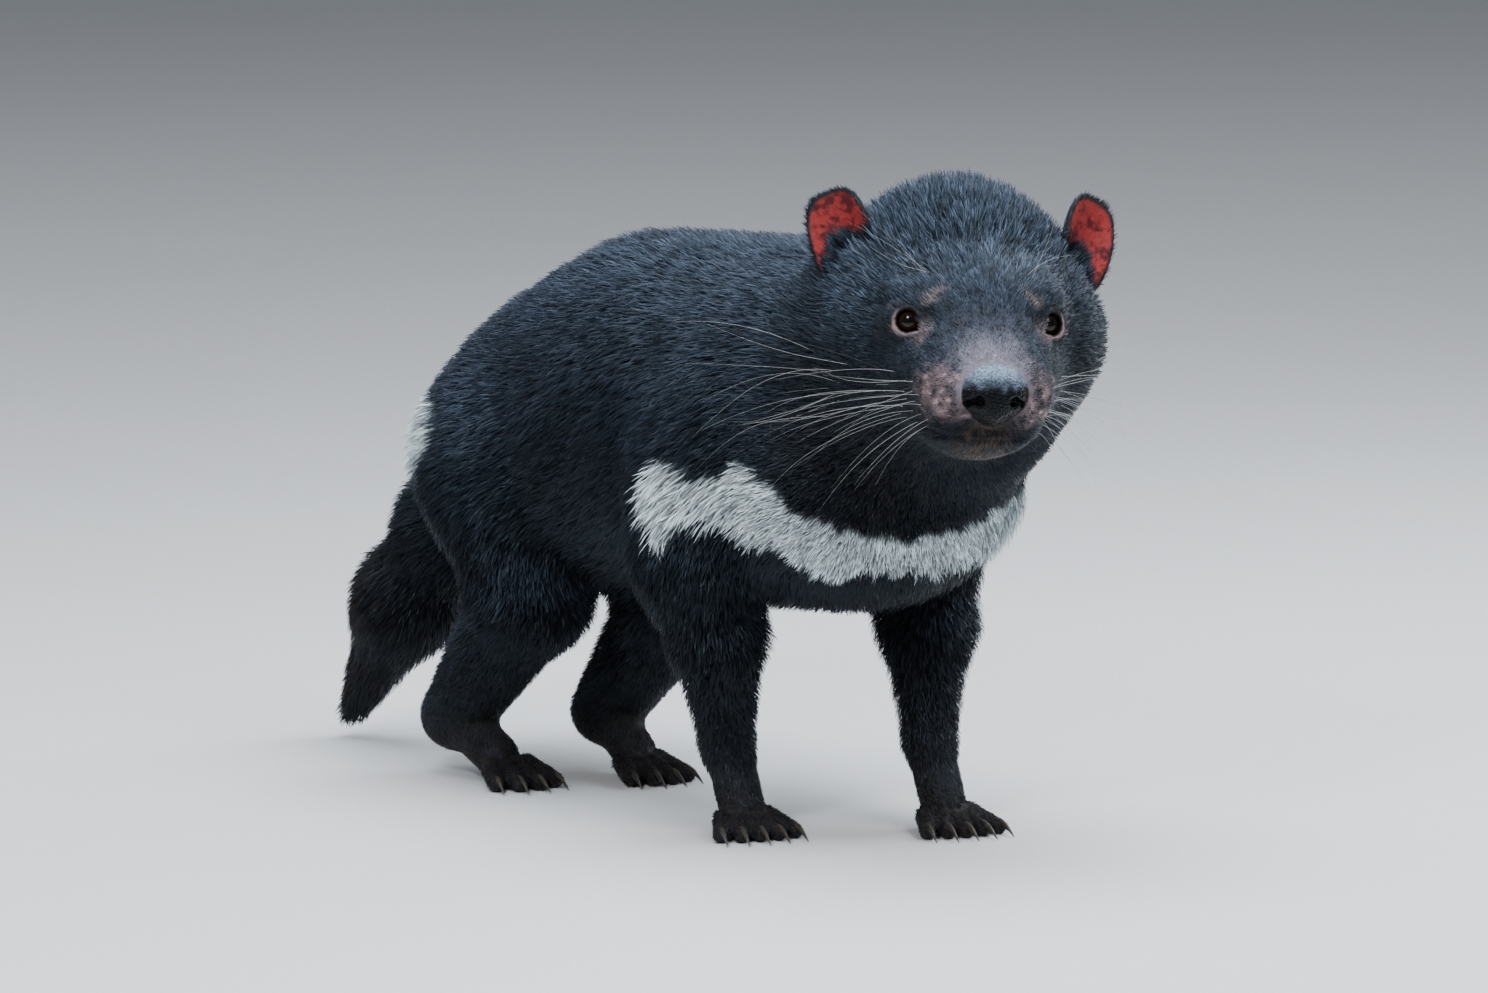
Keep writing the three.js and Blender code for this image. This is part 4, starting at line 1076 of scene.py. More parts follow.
def claw_points(toe, rings=12, around=12):
    """A curved horn from inside the end of a toe, with a flatter underside."""
    points = []
    way = toe["ahead"] + toe["across"] * toe["place"] * 0.12
    root_back = 4.0
    for i in range(rings + 1):
        t = i / rings
        out = t * (look("claw_length") / MM + root_back) - root_back
        height = toe["end"][2] + 3.0 * math.sin(math.pi * (0.25 + 0.62 * t)) - 4.5 * t * t
        radius = CLAW_RADIUS * (1.0 - 0.9 * t * t)
        middle = toe["end"] + way * out
        for k in range(around):
            turn = 2 * math.pi * k / around
            rise = radius * math.sin(turn) * (0.8 if math.sin(turn) < 0 else 1.0)
            across = 0.72 * radius * math.cos(turn)
            points.append([*(middle + toe["across"] * across)[:2], height + rise])
    caps = [tuple(reversed(range(around))), tuple(rings * around + k for k in range(around))]
    return points, ring_quads(0, rings, around), caps


def build_claws():
    material = claw_material()
    for name, leg in LEG_PLANS.items():
        points, quads, caps = [], [], []
        for toe in leg["toes"]:
            more, sides, ends = claw_points(toe)
            base = len(points)
            points += more
            quads += [tuple(base + v for v in q) for q in sides]
            caps += [tuple(base + v for v in c) for c in ends]
        mesh = mesh_of(f"claws_{name}", np.array(points), np.array(quads), caps)
        claws = new_piece(f"claws_{name}", mesh, [material])
        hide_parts(*[f"{name}_claw_{i + 1}" for i in range(len(leg["toes"]))])


def face_point(start, way):
    """Where a ray in the head frame, from inside the head, leaves the outer surface."""
    near, far = 0.0, 120.0
    for _ in range(26):
        middle = (near + far) / 2
        inside = skin_surface(from_head(np.array([start + way * middle])))[0] < 0
        near, far = (middle, far) if inside else (near, middle)
    return start + way * near


WHISKER_MIDDLE = 3.0
WHISKER_REACH = 84.0
WHISKER_SLACK = 19.0


def drawn_in(point):
    """Curls a hair back along the body before it reaches far beyond the animal's own width."""
    off = point[1] - WHISKER_MIDDLE
    out = abs(off)
    if out > WHISKER_REACH:
        out = WHISKER_REACH + WHISKER_SLACK * math.tanh((out - WHISKER_REACH) / 40.0)
    return np.array([point[0], WHISKER_MIDDLE + math.copysign(out, off), point[2]])


def whisker_roots(side):
    """Root, ways, length, sag and share of full thickness of each whisker of one side, in the head frame."""
    plan = []
    for row in range(5):
        for place in range(7):
            root_from = np.array([74.0 - 5.0 * place, side * 4.0, -30.0 - 4.4 * row + 0.6 * place])
            way = unit(np.array([0.35 - 0.1 * place, side * 1.0, 0.02 - 0.03 * row]))
            length = 42.0 + 13.0 * place - 3.0 * row
            out = unit(np.array([-0.25 - 0.16 * place, side * 1.0, 0.22 - 0.17 * row]))
            plan.append((root_from, way, out, length, 10.0 + 5.0 * row, 1.0))
    for place in range(4):
        root_from = np.array([18.0 - 4.0 * place, side * 20.0, -30.0 - 5.0 * place])
        way = unit(np.array([0.1, side * 1.0, -0.2]))
        out = unit(np.array([-0.7, side * 1.0, -0.15 - 0.15 * place]))
        plan.append((root_from, way, out, 62.0 + 8.0 * place, 14.0, 1.0))
    for place in range(3):
        root_from = np.array([40.0, side * 20.0, 2.0])
        way = unit(np.array([0.6 - 0.05 * place, side * 0.2, 0.95 - 0.16 * place]))
        out = unit(np.array([0.1 - 0.4 * place, side * 0.7, 0.45 + 0.12 * place]))
        plan.append((root_from, way, out, 38.0 + 9.0 * place, 9.0, 0.75))
    return plan


def build_whiskers():
    """Long fine hairs on the muzzle, cheeks and brows."""
    pale, dark = [], []
    chance = np.random.default_rng(41)
    for side in SIDES:
        for number, (start, way, out, length, sag, share) in enumerate(whisker_roots(side)):
            jitter = chance.normal(0.0, 1.0, 3) * np.array([1.0, 0.3, 0.9])
            root = face_point(start + jitter, way)
            sway = unit(out + chance.normal(0.0, 0.11, 3))
            length = length * chance.uniform(0.75, 1.15)
            radius = look("whisker_width") / MM * (0.5 if number % 3 else 0.65) * share
            bow = chance.normal(0.0, 0.06, 3) * length
            line = []
            for t in np.concatenate([[0.0, 1.1 / length], np.linspace(0.0, 1.0, 15)[1:]]):
                p = root - way * 0.3 + sway * length * t
                p = p + np.array([-0.5 * sag * t * t, 0.0, -sag * t * t * 0.75]) + bow * math.sin(math.pi * t)
                line.append(drawn_in(from_head(p)))
            (dark if chance.uniform() < 0.12 else pale).append((np.array(line), radius))
    kinds = (("whiskers_pale", pale, (0.50, 0.50, 0.50)), ("whiskers_dark", dark, (0.02, 0.018, 0.018)))
    for name, lines, colour in kinds:
        points, quads, caps = [], [], []
        for line, radius in lines:
            add_hair(points, quads, caps, line, radius)
        mesh = mesh_of(name, np.array(points), np.array(quads), caps)
        new_piece(name, mesh, [whisker_material(name, colour)])


def add_hair(points, quads, caps, line, radius, collar=0.5, around=4):
    """A tapered round hair along a line of points."""
    base = len(points)
    ways = unit(np.gradient(line, axis=0))
    side = unit(np.cross(ways, [0.0, 0.0, 1.0]))
    up = np.cross(side, ways)
    steps = len(line)
    for i in range(steps):
        size = radius * (1.0 - 0.8 * (i / (steps - 1)) ** 1.3) if i else collar
        for k in range(around):
            turn = 2 * math.pi * k / around
            points.append(line[i] + size * (math.cos(turn) * side[i] + math.sin(turn) * up[i]))
    quads.extend(ring_quads(base, steps - 1, around))
    caps.append(tuple(base + k for k in reversed(range(around))))
    caps.append(tuple(base + (steps - 1) * around + k for k in range(around)))


# The coat: thin flat tufts that rise from the skin and bend to the lie of the fur.
NOSE_TIP = np.array([104.0, 0.0, -32.0])
COAT_PIECES = (
    "back_left", "back_right", "belly", "neck_left", "neck_right",
    "head", "face", "legs_front", "legs_hind", "tail",
)
BLADE_ROWS = (0.0, 0.36, 0.72)
BLADE_WIDTHS = (0.75, 1.0, 0.62)
BLADE_FACES = ([0, 1, 3, 2], [2, 3, 5, 4], [4, 5, 6])
BLADE_HEIGHTS = np.array([0.0, 0.0, 0.36, 0.36, 0.72, 0.72, 1.0])
BLADE_SPREAD = np.array([-0.4, 0.4, -0.5, 0.5, -0.3, 0.3, 0.0])
PATCH = 0.003
TUFT_WIDTH = {"body": 0.72, "leg": 0.48, "tail": 0.70, "head": 0.60, "face": 0.36, "ear": 0.34}
TUFTS_IN_A_SQUARE = {"body": 0.72, "leg": 0.80, "head": 1.0, "face": 1.95, "ear": 1.7}
EAR_FOOT = np.array([0.0, 44.0, 30.0])


def bone_way(points, bones):
    """Direction down the nearer bone of a leg."""
    start, middle, end = (np.asarray(b, float) for b in bones)
    share = smooth_step(points[:, 2], middle[2] - 18.0, middle[2] + 18.0)[:, None]
    return unit(end - middle) * (1.0 - share) + unit(middle - start) * share


def leg_shares(points):
    """Share of each leg in the body at a point, from 0 on the trunk to 1 on the leg."""
    total = blend_join(melt(TRUNK, points), melt(NECK, points), 40)
    shares = {}
    for name in LEG_PLANS:
        share = np.zeros(len(points))
        near = near_leg(name, points)
        if len(near):
            leg = melt(LEG_PLANS[name]["forms"], points[near])
            share[near] = smooth_step(total[near] - leg, -8.0, 26.0)
        shares[name] = share
    return shares


def coat_lie(points, normals, heads):
    """Direction in which the fur lies at each point, along the skin."""
    way = np.tile([-1.0, 0.0, -0.30], (len(points), 1))
    flank = smooth_step(np.abs(points[:, 1]), 20.0, 75.0)
    way[:, 2] -= 0.45 * flank
    chest = smooth_step(points[:, 0], 98.0, 150.0) * (1.0 - smooth_step(points[:, 2], 225.0, 275.0))
    inwards = -0.5 * np.clip(points[:, 1] / 70.0, -1.0, 1.0)
    to_middle = np.stack([np.full(len(points), 0.05), inwards, np.full(len(points), -0.9)], 1)
    way = mix(way, to_middle, chest[:, None])
    for name, share in leg_shares(points).items():
        down = bone_way(points, LEG_PLANS[name]["bones"]) + np.array([-0.12, 0.0, 0.0])
        toe = LEG_PLANS[name]["toes"][0]
        on_paw = 1.0 - smooth_step(points[:, 2], 14.0, 38.0)
        down = mix(down, toe["ahead"] + np.array([0.0, 0.0, -0.5]), on_paw[:, None])
        way = mix(way, unit(down), share[:, None])
    tail_share = smooth_step(-points[:, 0], 178.0, 215.0) * (points[:, 2] < 215.0)
    tail_way = unit(np.array(TAIL_TIP, float) - np.array(TAIL_BEND, float))
    way = mix(way, tail_way, tail_share[:, None])
    head_share = smooth_step(heads[:, 0], -60.0, -10.0) * (points[:, 0] > 118.0)
    radial = heads - NOSE_TIP
    radial[:, 2] *= 0.8
    head_way = unit(radial) @ HEAD_TURN.T
    way = mix(unit(way), head_way, head_share[:, None])
    swirl = np.stack([soft_noise(points, 34.0, 61 + n) for n in range(3)], 1)
    fine = np.stack([soft_noise(points, 9.0, 71 + n) for n in range(3)], 1)
    way = unit(way) + 0.22 * swirl + 0.16 * fine
    way = way - normals * (way * normals).sum(1, keepdims=True)
    return unit(way)


def coat_plan(points, normals, heads):
    """Length, width, height of the tip over the skin and tufts per square millimetre at each point."""
    count = len(points)
    depth = coat_depth(points, heads)
    length = np.full(count, look("back_hair") / MM)
    width = np.full(count, TUFT_WIDTH["body"])
    dense = np.full(count, TUFTS_IN_A_SQUARE["body"])
    height = np.maximum(depth, 1.2)
    x, _, z = points.T
    hx, hy, hz = heads.T
    in_face = x > 150
    white = band_share(points)
    length += 5.0 * white
    height *= 1.0 + 0.25 * white
    belly = 1.0 - smooth_step(normals[:, 2], -0.9, -0.3)
    dense = dense * (1.0 - 0.35 * belly * (z > 90))
    low = 1.0 - smooth_step(z, 12.0, 150.0)
    on_leg = low * (x > -215.0)
    length = mix(length, look("leg_hair") / MM, on_leg**0.8)
    width = mix(width, TUFT_WIDTH["leg"], on_leg)
    dense = mix(dense, TUFTS_IN_A_SQUARE["leg"], on_leg)
    tail = smooth_step(-x, 190.0, 285.0)
    length = mix(length, 13.0, tail)
    width = mix(width, TUFT_WIDTH["tail"], tail)
    head_share = smooth_step(hx, -62.0, -18.0) * (x > 118.0)
    crown = smooth_step(hz, 8.0, 40.0)
    head_length = mix(np.full(count, 10.5), look("crown_hair") / MM, crown)
    face = smooth_step(hx - 0.45 * hz, 12.0, 84.0)
    head_length = mix(head_length, look("face_hair") / MM, face)
    head_width = mix(np.full(count, TUFT_WIDTH["head"]), TUFT_WIDTH["face"], face)
    head_dense = np.full(count, TUFTS_IN_A_SQUARE["head"])
    head_dense = mix(head_dense, TUFTS_IN_A_SQUARE["face"], face)
    length = mix(length, head_length, head_share)
    width = mix(width, head_width, head_share)
    dense = mix(dense, head_dense, head_share)
    ruff = np.exp(-(((hx + 6.0) / 22.0) ** 2) - (((hz + 12.0) / 26.0) ** 2))
    ruff = smooth_step(np.abs(hy), 42.0, 60.0) * ruff
    from_ear = np.linalg.norm(np.stack([hx, np.abs(hy), hz], 1) - EAR_FOOT, axis=1)
    by_ear = np.exp(-((from_ear / 11.0) ** 2))
    length = mix(length, 17.0, np.maximum(ruff, by_ear) * head_share)
    lift = 1.0 + (0.9 * crown + 1.1 * ruff + 0.9 * by_ear) * head_share * (1.0 - face)
    height = height * lift
    ears = np.zeros(count)
    for side in SIDES:
        local, rim, cup = ear_places(heads, side)
        proud = smooth_step(from_ear_root(heads, side), 24.0, 32.0)
        ears = np.maximum(ears, (rim < 1.15) * (np.abs(local[:, 0] - cup + 1.5) < 7.0) * proud)
    cup_share, _ = ear_shares(heads)
    length = mix(length, 4.2, ears)
    width = mix(width, TUFT_WIDTH["ear"], ears)
    height = mix(height, 1.2, ears)
    dense = mix(dense, TUFTS_IN_A_SQUARE["ear"], ears) * (1.0 - 0.97 * cup_share)
    dense = dense * smooth_step(melt(NOSE, heads) + 20.0 * (hx < 80.0), 0.8, 2.6)
    bare = np.ones(count)
    for side in SIDES:
        opening, inward, up, facing = eye_places(heads, side)
        above = smooth_step(up + 0.5 * inward, -3.0, 5.0)
        bare = bare * np.where(facing, smooth_step(opening + 2.6 * above, 1.5, 4.6), 1.0)
    lip = 1.0 - np.exp(-(((hz - mouth_height(hx)) / 1.1) ** 2)) * smooth_step(hx, 72.0, 88.0) * in_face
    thin = pad_share(heads) * in_face
    chin = smooth_step(-hz, 46.0, 54.0) * smooth_step(hx, 52.0, 66.0) * in_face
    bridge = bridge_share(heads) * in_face
    brows = np.maximum(brow_share(heads, 1), brow_share(heads, -1)) * in_face
    dense = dense * bare * lip * (1.0 - 0.82 * thin) * (1.0 - 0.55 * brows)
    length = mix(length, 2.6, np.maximum(thin, 0.8 * bridge))
    height = np.where(in_face, mix(height, 0.7, np.maximum(thin, bridge)), height)
    length = mix(length, 6.5, chin)
    height = mix(height, 3.0, chin)
    dense = dense * (1.0 + 0.4 * chin)
    dense = dense * smooth_step(z, 1.0, 6.0)
    return length, width, np.minimum(height, length * 0.75), dense


def pieces_of(points, normals, heads):
    """Name of the piece of the coat that each root belongs to."""
    x, y, z = points.T
    left = y > 0.0
    piece = np.where(left, "back_left", "back_right")
    piece = np.where((normals[:, 2] < -0.45) & (z > 90.0) & (x < 150), "belly", piece)
    piece = np.where(x > 70.0, np.where(left, "neck_left", "neck_right"), piece)
    shares = leg_shares(points)
    for pair in ("front", "hind"):
        share = np.maximum(shares[f"{pair}_left"], shares[f"{pair}_right"])
        piece = np.where(share > 0.5, f"legs_{pair}", piece)
    piece = np.where((x < -196.0) & (z < 215.0), "tail", piece)
    piece = np.where((heads[:, 0] > -42.0) & (x > 135.0) & (z > 205.0), "head", piece)
    return np.where((heads[:, 0] > 34.0) & (x > 150.0) & (z > 205.0), "face", piece)


def unwrap(points, heads, piece):
    """Place of each root on a flat map of the skin: along a limb or trunk, and round it."""
    x, y, z = points.T
    if piece in ("head", "face"):
        hx, hy, hz = heads.T
        along = (hx + 60.0) / 180.0
        round_it = np.arctan2(hy, -(hz + 8.0))
    elif piece.startswith("legs"):
        left = y > 0.0
        middle_x = 100.0 + 22.0 * left if piece == "legs_front" else -118.0 + 14.0 * left
        middle_y = np.where(left, 1.0, -1.0) * (56.0 if piece == "legs_front" else 38.0)
        round_it = np.arctan2(y - middle_y, x - middle_x) * 0.48 + np.where(left, 1.55, -1.55)
        along = z / 290.0
    elif piece == "tail":
        along = (-x - 180.0) / 130.0
        way = unit(np.array([TAIL_TIP], float) - np.array([TAIL_BEND], float))[0]
        off = points - np.array(TAIL_BEND)
        off = off - (off @ way)[:, None] * way
        round_it = np.arctan2(off[:, 1], off @ np.cross([0.0, 1.0, 0.0], way))
    else:
        along = (x + 215.0) / 450.0
        round_it = np.arctan2(y, -(z - 200.0))
    return np.clip(along, 0.0, 1.0), np.clip(round_it / (2 * np.pi) + 0.5, 0.0, 1.0)


def sow(points, faces, normals, chance):
    """Scatters roots over the skin, as many to a face as its area and the coat call for."""
    a, b, c, d = (points[faces[:, k]] for k in range(4))
    area = 0.5 * np.linalg.norm(np.cross(c - a, d - b), axis=1)
    middle = points[faces].mean(1)
    middle_normal = unit(normals[faces].mean(1))
    dense = coat_plan(middle, middle_normal, to_head(middle))[3]
    number = np.floor(area * dense + chance.uniform(size=len(area))).astype(int)
    face = np.repeat(np.arange(len(faces)), number)
    u, v = chance.uniform(size=(2, len(face), 1))
    roots = (a[face] * (1 - u) + b[face] * u) * (1 - v) + (d[face] * (1 - u) + c[face] * u) * v
    n = normals[faces[face]]
    root_normals = (n[:, 0] * (1 - u) + n[:, 1] * u) * (1 - v) + (n[:, 3] * (1 - u) + n[:, 2] * u) * v
    return roots, unit(root_normals)


def tufts(roots, normals, chance):
    """Corners of all the tufts, seven to each, from the root to the tip."""
    heads = to_head(roots)
    length, width, height, _ = coat_plan(roots, normals, heads)
    lie = coat_lie(roots, normals, heads)
    count = len(roots)
    clump = soft_noise(roots, 7.0, 81)
    length = length * chance.uniform(0.72, 1.18, count) * (1.0 + 0.14 * clump)
    height = height * chance.uniform(0.55, 1.12, count) * (1.0 + 0.16 * soft_noise(roots, 5.0, 82))
    height = np.minimum(height, 0.8 * length)
    turn = chance.normal(0.0, 0.16, count)
    cross = np.cross(normals, lie)
    lie = unit(lie * np.cos(turn)[:, None] + cross * np.sin(turn)[:, None])
    cross = np.cross(normals, lie)
    run = np.sqrt(length * length - height * height)
    roll = chance.uniform(-0.7, 0.7, count)
    curl = chance.normal(0.0, 0.06, count) * length
    corners = np.empty((count, len(BLADE_HEIGHTS), 3))

    def place(t):
        rise = 1.0 - (1.0 - t) ** 1.7
        middle = roots + normals * (height * rise - 0.5)[:, None] + lie * (run * t**1.12)[:, None]
        return middle + cross * (curl * t * t)[:, None]

    flat = cross * np.cos(roll)[:, None] + normals * np.sin(roll)[:, None]
    for row, (t, share) in enumerate(zip(BLADE_ROWS, BLADE_WIDTHS)):
        middle = place(t)
        half = flat * (0.5 * width * share)[:, None]
        corners[:, 2 * row] = middle - half
        corners[:, 2 * row + 1] = middle + half
    corners[:, -1] = place(1.0)
    return corners


def coat_mesh(name, corners, colours, along, round_it):
    """The mesh of one piece of coat, laid out flat and tinted from dark roots to light tips: painted shade
    deep in the coat, painted sheen at the tips.
    """
    count, corners_each = corners.shape[:2]
    mesh = bpy.data.meshes.new(name)
    mesh.vertices.add(count * corners_each)
    mesh.vertices.foreach_set("co", in_model(corners.reshape(-1, 3)).astype(np.float32).ravel())
    base = (np.arange(count) * corners_each)[:, None]
    loops = np.concatenate([base + np.array(face) for face in BLADE_FACES], 1)
    mesh.loops.add(loops.size)
    mesh.loops.foreach_set("vertex_index", loops.astype(np.int32).ravel())
    first = np.cumsum([0] + [len(face) for face in BLADE_FACES])
    starts = (np.arange(count) * first[-1])[:, None] + first[:-1]
    mesh.polygons.add(starts.size)
    mesh.polygons.foreach_set("loop_start", starts.astype(np.int32).ravel())
    mesh.update(calc_edges=True)
    # Dark roots and light tips along each tuft: painted shade deep in the coat and a painted sheen at the
    # tips.
    shade = 0.14 + 1.22 * BLADE_HEIGHTS**1.2
    tint = colours[:, None, :] * shade[None, :, None]
    set_tint(mesh, tint.reshape(-1, 3))
    u = 0.004 + 0.99 * along[:, None] + BLADE_HEIGHTS * PATCH
    v = 0.004 + 0.99 * round_it[:, None] + BLADE_SPREAD * PATCH
    corner_uv = np.stack([u, v], -1).reshape(-1, 2)[loops.ravel()]
    layer = mesh.uv_layers.new(name="OFBake")
    layer.data.foreach_set("uv", corner_uv.astype(np.float32).ravel())
    return mesh


def mesh_arrays(mesh):
    """Points in millimetres and quads of a mesh."""
    points = np.zeros(len(mesh.vertices) * 3)
    mesh.vertices.foreach_get("co", points)
    starts = np.zeros(len(mesh.polygons), np.int32)
    sizes = np.zeros(len(mesh.polygons), np.int32)
    corners = np.zeros(len(mesh.loops), np.int32)
    mesh.polygons.foreach_get("loop_start", starts)
    mesh.polygons.foreach_get("loop_total", sizes)
    mesh.loops.foreach_get("vertex_index", corners)
    quads = corners[starts[sizes >= 4][:, None] + np.arange(4)]
    return (points.reshape(-1, 3) - FRAME_SHIFT) / MM, quads


def build_coat(share):
    points, quads = mesh_arrays(bpy.data.objects["skin"].data)
    normals = unit(slope_of(skin_surface, points)[1])
    chance = np.random.default_rng(7)
    roots, root_normals = sow(points, quads, normals, chance)
    if share < 1.0:
        kept = chance.uniform(size=len(roots)) < share
        roots, root_normals = roots[kept], root_normals[kept]
    heads = to_head(roots)
    corners = tufts(roots, root_normals, chance)
    colours = skin_colour(roots, root_normals)
    fur = coat_colour(roots, root_normals)
    bare = np.maximum(pad_share(heads), np.maximum(bridge_share(heads), chin_share(heads)))
    for side in SIDES:
        opening, _, _, facing = eye_places(heads, side)
        by_eye = (1.0 - smooth_step(opening, 9.0, 14.0)) * facing
        bare = np.maximum(bare, np.maximum(brow_share(heads, side), by_eye))
    bare = bare * (roots[:, 0] > 150.0)
    foot = (1.0 - smooth_step(roots[:, 2], 10.0, 24.0)) * (roots[:, 0] > -215.0)
    colours = mix(fur, colours, np.maximum(0.85 * bare, 0.5 * foot)[:, None])
    spread = chance.uniform(-1.0, 1.0, len(roots))
    spread = spread * mix(0.8, 0.9, smooth_step(heads[:, 0], -10.0, 40.0) * (roots[:, 0] > 140.0))
    strength = mix(0.6, 1.1, smooth_step(heads[:, 0], -30.0, 10.0) * (roots[:, 0] > 140.0))
    clump = 0.92 + strength * soft_noise(roots, 2.6, 83) * (1.0 - 0.7 * band_share(roots))
    clump = np.maximum(clump, 0.2)
    colours = colours * ((1.0 + spread) * clump)[:, None]
    piece = pieces_of(roots, root_normals, heads)
    material = coat_material()
    for name in COAT_PIECES:
        own = piece == name
        along, round_it = unwrap(roots[own], heads[own], name)
        mesh = coat_mesh(f"coat_{name}", corners[own], colours[own], along, round_it)
        new_piece(f"coat_{name}", mesh, [material])


# The stage: floor, lights and camera.
def soft_light(name, place, aim, size, power, colour):
    lamp = bpy.data.lights.new(name, "AREA")
    lamp.shape = "RECTANGLE"
    lamp.size, lamp.size_y = size
    lamp.energy = power
    lamp.color = colour
    holder = bpy.data.objects.new(name, lamp)
    holder.location = place
    holder.rotation_euler = (Vector(aim) - Vector(place)).to_track_quat("-Z", "Y").to_euler()
    bpy.context.scene.collection.objects.link(holder)


CAMERA_TURN = 38.0
CAMERA_RISE = 7.6
CAMERA_DISTANCE = 4000.0
CAMERA_LENS = 180.97
CAMERA_AIM = np.array([-0.9, 34.0, 162.5])
FLOOR_RADIUS = 20.0
FLOOR_SIDES = 64
LIGHT_AIM = (0.05, 0.0, 0.18)
# Lights set out from the camera's side: name; metres towards it, to its right and up; size; watts; colour.
CAMERA_LIGHTS = (
    ("key_soft", (1.1, 0.9, 1.5), (0.8, 0.8), 14.0, (0.95, 0.97, 1.0)),
    ("catch_light", (1.5, -0.6, 1.25), (0.30, 0.30), 15.0, (0.98, 0.99, 1.0)),
    ("rim_soft", (-0.7, 1.3, 1.0), (1.0, 0.7), 12.0, (0.85, 0.93, 1.0)),
)


def build_stage():
    turn = math.radians(CAMERA_TURN)
    to_camera = np.array([math.cos(turn), -math.sin(turn), 0.0])
    to_side = np.array([math.sin(turn), math.cos(turn), 0.0])
    around = 2 * np.pi * np.arange(FLOOR_SIDES) / FLOOR_SIDES
    sheet = bpy.data.meshes.new("studio_floor")
    rim = [(FLOOR_RADIUS * math.cos(a), FLOOR_RADIUS * math.sin(a), 0.0) for a in around]
    sheet.from_pydata(rim, [], [tuple(range(FLOOR_SIDES))])
    sheet.update()
    floor = bpy.data.objects.new("studio_floor", sheet)
    bpy.context.scene.collection.objects.link(floor)
    sheet.materials.append(paper_material())
    world = bpy.data.worlds.new("studio_world")
    world.use_nodes = True
    world.node_tree.nodes["Background"].inputs["Color"].default_value = (0.84, 0.90, 1.0, 1)
    world.node_tree.nodes["Background"].inputs["Strength"].default_value = 0.20
    bpy.context.scene.world = world
    soft_light("overhead_soft", (0.15, 0.0, 1.7), LIGHT_AIM, (1.5, 1.0), 34.0, (0.86, 0.93, 1.0))
    soft_light("room_soft", (0.0, 0.0, 3.2), (0.0, 0.0, 0.0), (6.0, 6.0), 100.0, (0.95, 0.97, 1.0))
    for name, (ahead, across, up), size, power, colour in CAMERA_LIGHTS:
        place = to_camera * ahead + to_side * across
        soft_light(name, (place[0], place[1], up), LIGHT_AIM, size, power, colour)
    rise = math.radians(CAMERA_RISE)
    back = np.array([*(to_camera[:2] * math.cos(rise)), math.sin(rise)])
    camera = bpy.data.cameras.new("photo_camera")
    camera.lens = CAMERA_LENS
    camera.sensor_width = 36.0
    camera.clip_end = 50.0
    holder = bpy.data.objects.new("photo_camera", camera)
    holder.location = in_model(CAMERA_AIM + back * CAMERA_DISTANCE)
    holder.rotation_euler = Vector(-back).to_track_quat("-Z", "Y").to_euler()
    bpy.context.scene.collection.objects.link(holder)
    bpy.context.scene.camera = holder


# The add-on: sizes and colours to change, one operator for each group of pieces, one panel.
def colour_setting(name, description, default):
    return bpy.props.FloatVectorProperty(
        name=name, description=description, default=default, size=3, min=0.0, max=1.0, subtype="COLOR",
    )


def length_setting(name, description, millimetres):
    return bpy.props.FloatProperty(
        name=name, description=description, default=millimetres * MM, min=0.0, precision=5, unit="LENGTH",
    )


class DevilLook(bpy.types.PropertyGroup):
    """Sizes and colours of the coat, skin, eyes, claws and whiskers"""

    fullness: bpy.props.FloatProperty(
        name="Fullness", description="Share of the tufts that are grown", default=1.0, min=0.02, max=1.0,
        subtype="FACTOR",
    )
    back_hair: length_setting("Back Hair", "Length of the tufts on the trunk", 15.0)
    crown_hair: length_setting("Crown Hair", "Length of the tufts on top of the head", 15.0)
    face_hair: length_setting("Face Hair", "Length of the tufts on the muzzle", 3.2)
    leg_hair: length_setting("Leg Hair", "Length of the tufts on the lower legs", 3.6)
    whisker_width: length_setting("Whisker Width", "Thickness of a whisker near its root", 0.17)
    claw_length: length_setting("Claw Length", "How far a claw stands out of its toe", CLAW_LENGTH)
    coat_black: colour_setting("Coat Black", "Shaded parts of the coat", (0.0078, 0.0088, 0.0108))
    # The slate colour is a painted sheen, laid where the coat faces up.
    coat_slate: colour_setting("Coat Slate", "Back and crown, where the light falls", (0.036, 0.048, 0.070))
    coat_brown: colour_setting("Coat Brown", "Throat, lower legs and tail", (0.0150, 0.0112, 0.0088))
    band_white: colour_setting("Band White", "Chest band and rump patches", (0.62, 0.70, 0.72))
    # The face grey holds a painted cool sheen as well as the colour of the short hair.
    face_grey_and_sheen: colour_setting("Face Grey", "Short hair on top of the muzzle", (0.100, 0.094, 0.118))
    muzzle_skin: colour_setting("Muzzle Skin", "Whisker pads", (0.240, 0.170, 0.176))
    chin_skin: colour_setting("Chin Skin", "Lips and chin", (0.044, 0.027, 0.017))
    lid_skin: colour_setting("Lid Skin", "Bare rims round the eyes", (0.220, 0.160, 0.165))
    ear_red: colour_setting("Ear Red", "Bare skin in the cups of the ears", (0.260, 0.027, 0.026))
    iris_brown: colour_setting("Iris Brown", "Ring round the pupils", (0.024, 0.011, 0.006))


class DEVIL_OT_stage(bpy.types.Operator):
    """Sets out the floor, lights and camera"""

    bl_idname = "devil.stage"
    bl_label = "Stage"

    def execute(self, context):
        build_stage()
        return {"FINISHED"}


class DEVIL_OT_skin(bpy.types.Operator):
    """Builds the one skin with its face, ears and feet"""

    bl_idname = "devil.skin"
    bl_label = "Skin"

    def execute(self, context):
        build_skin()
        return {"FINISHED"}


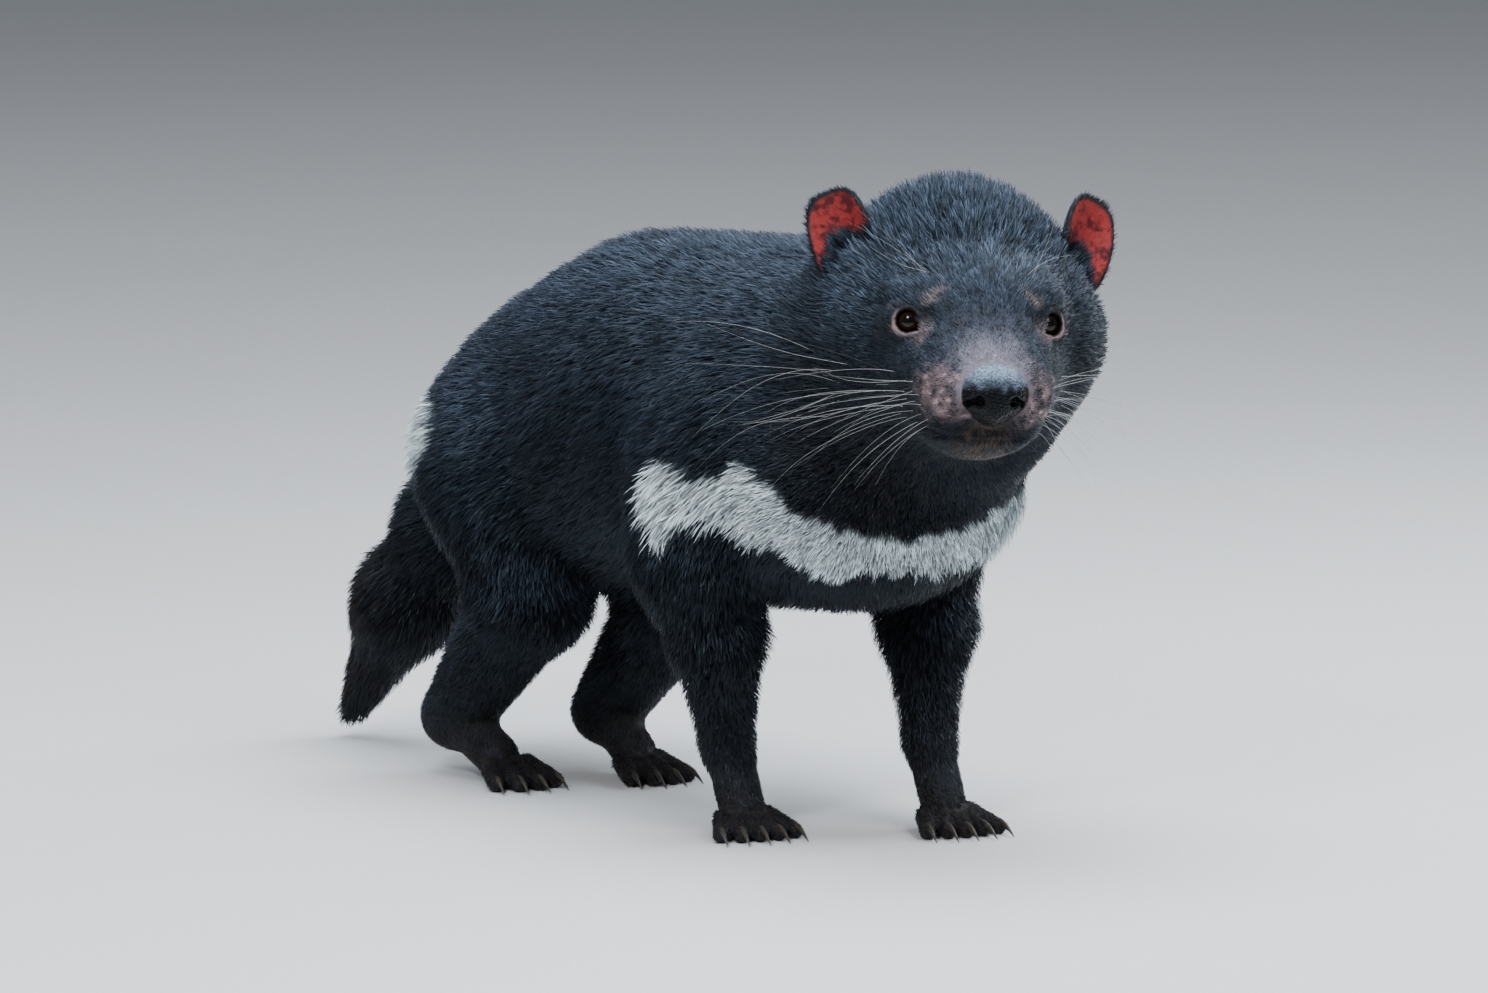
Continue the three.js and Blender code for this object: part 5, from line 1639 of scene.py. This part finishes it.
class DEVIL_OT_eyes(bpy.types.Operator):
    """Builds both eyes"""

    bl_idname = "devil.eyes"
    bl_label = "Eyes"

    def execute(self, context):
        build_eyes()
        return {"FINISHED"}


class DEVIL_OT_claws(bpy.types.Operator):
    """Builds the claws of the four feet"""

    bl_idname = "devil.claws"
    bl_label = "Claws"

    def execute(self, context):
        build_claws()
        return {"FINISHED"}


class DEVIL_OT_coat(bpy.types.Operator):
    """Grows the coat on the skin"""

    bl_idname = "devil.coat"
    bl_label = "Coat"

    def execute(self, context):
        if "skin" not in bpy.data.objects:
            raise RuntimeError("The coat needs the skin first")
        build_coat(look("fullness") * (1.0))
        return {"FINISHED"}


class DEVIL_OT_whiskers(bpy.types.Operator):
    """Sets the whiskers in the muzzle, cheeks and brows"""

    bl_idname = "devil.whiskers"
    bl_label = "Whiskers"

    def execute(self, context):
        build_whiskers()
        return {"FINISHED"}


class DEVIL_PT_panel(bpy.types.Panel):
    """Lists the steps that build the animal"""

    bl_label = "Tasmanian Devil"
    bl_idname = "DEVIL_PT_panel"
    bl_space_type = "VIEW_3D"
    bl_region_type = "UI"
    bl_category = "Devil"

    def draw(self, context):
        for name in DevilLook.__annotations__:
            self.layout.prop(context.scene.devil_look, name)
        for operator in OPERATORS:
            self.layout.operator(operator.bl_idname)


OPERATORS = (
    DEVIL_OT_stage, DEVIL_OT_skin, DEVIL_OT_eyes, DEVIL_OT_claws, DEVIL_OT_coat, DEVIL_OT_whiskers,
)
CLASSES = (DevilLook, *OPERATORS, DEVIL_PT_panel)


def register():
    for each in CLASSES:
        bpy.utils.register_class(each)
    bpy.types.Scene.devil_look = bpy.props.PointerProperty(type=DevilLook)


def unregister():
    del bpy.types.Scene.devil_look
    for each in reversed(CLASSES):
        bpy.utils.unregister_class(each)


def main():
    register()
    bpy.ops.devil.stage()
    bpy.ops.devil.skin()
    bpy.ops.devil.eyes()
    bpy.ops.devil.claws()
    bpy.ops.devil.coat()
    bpy.ops.devil.whiskers()


if __name__ == "__main__":
    main()
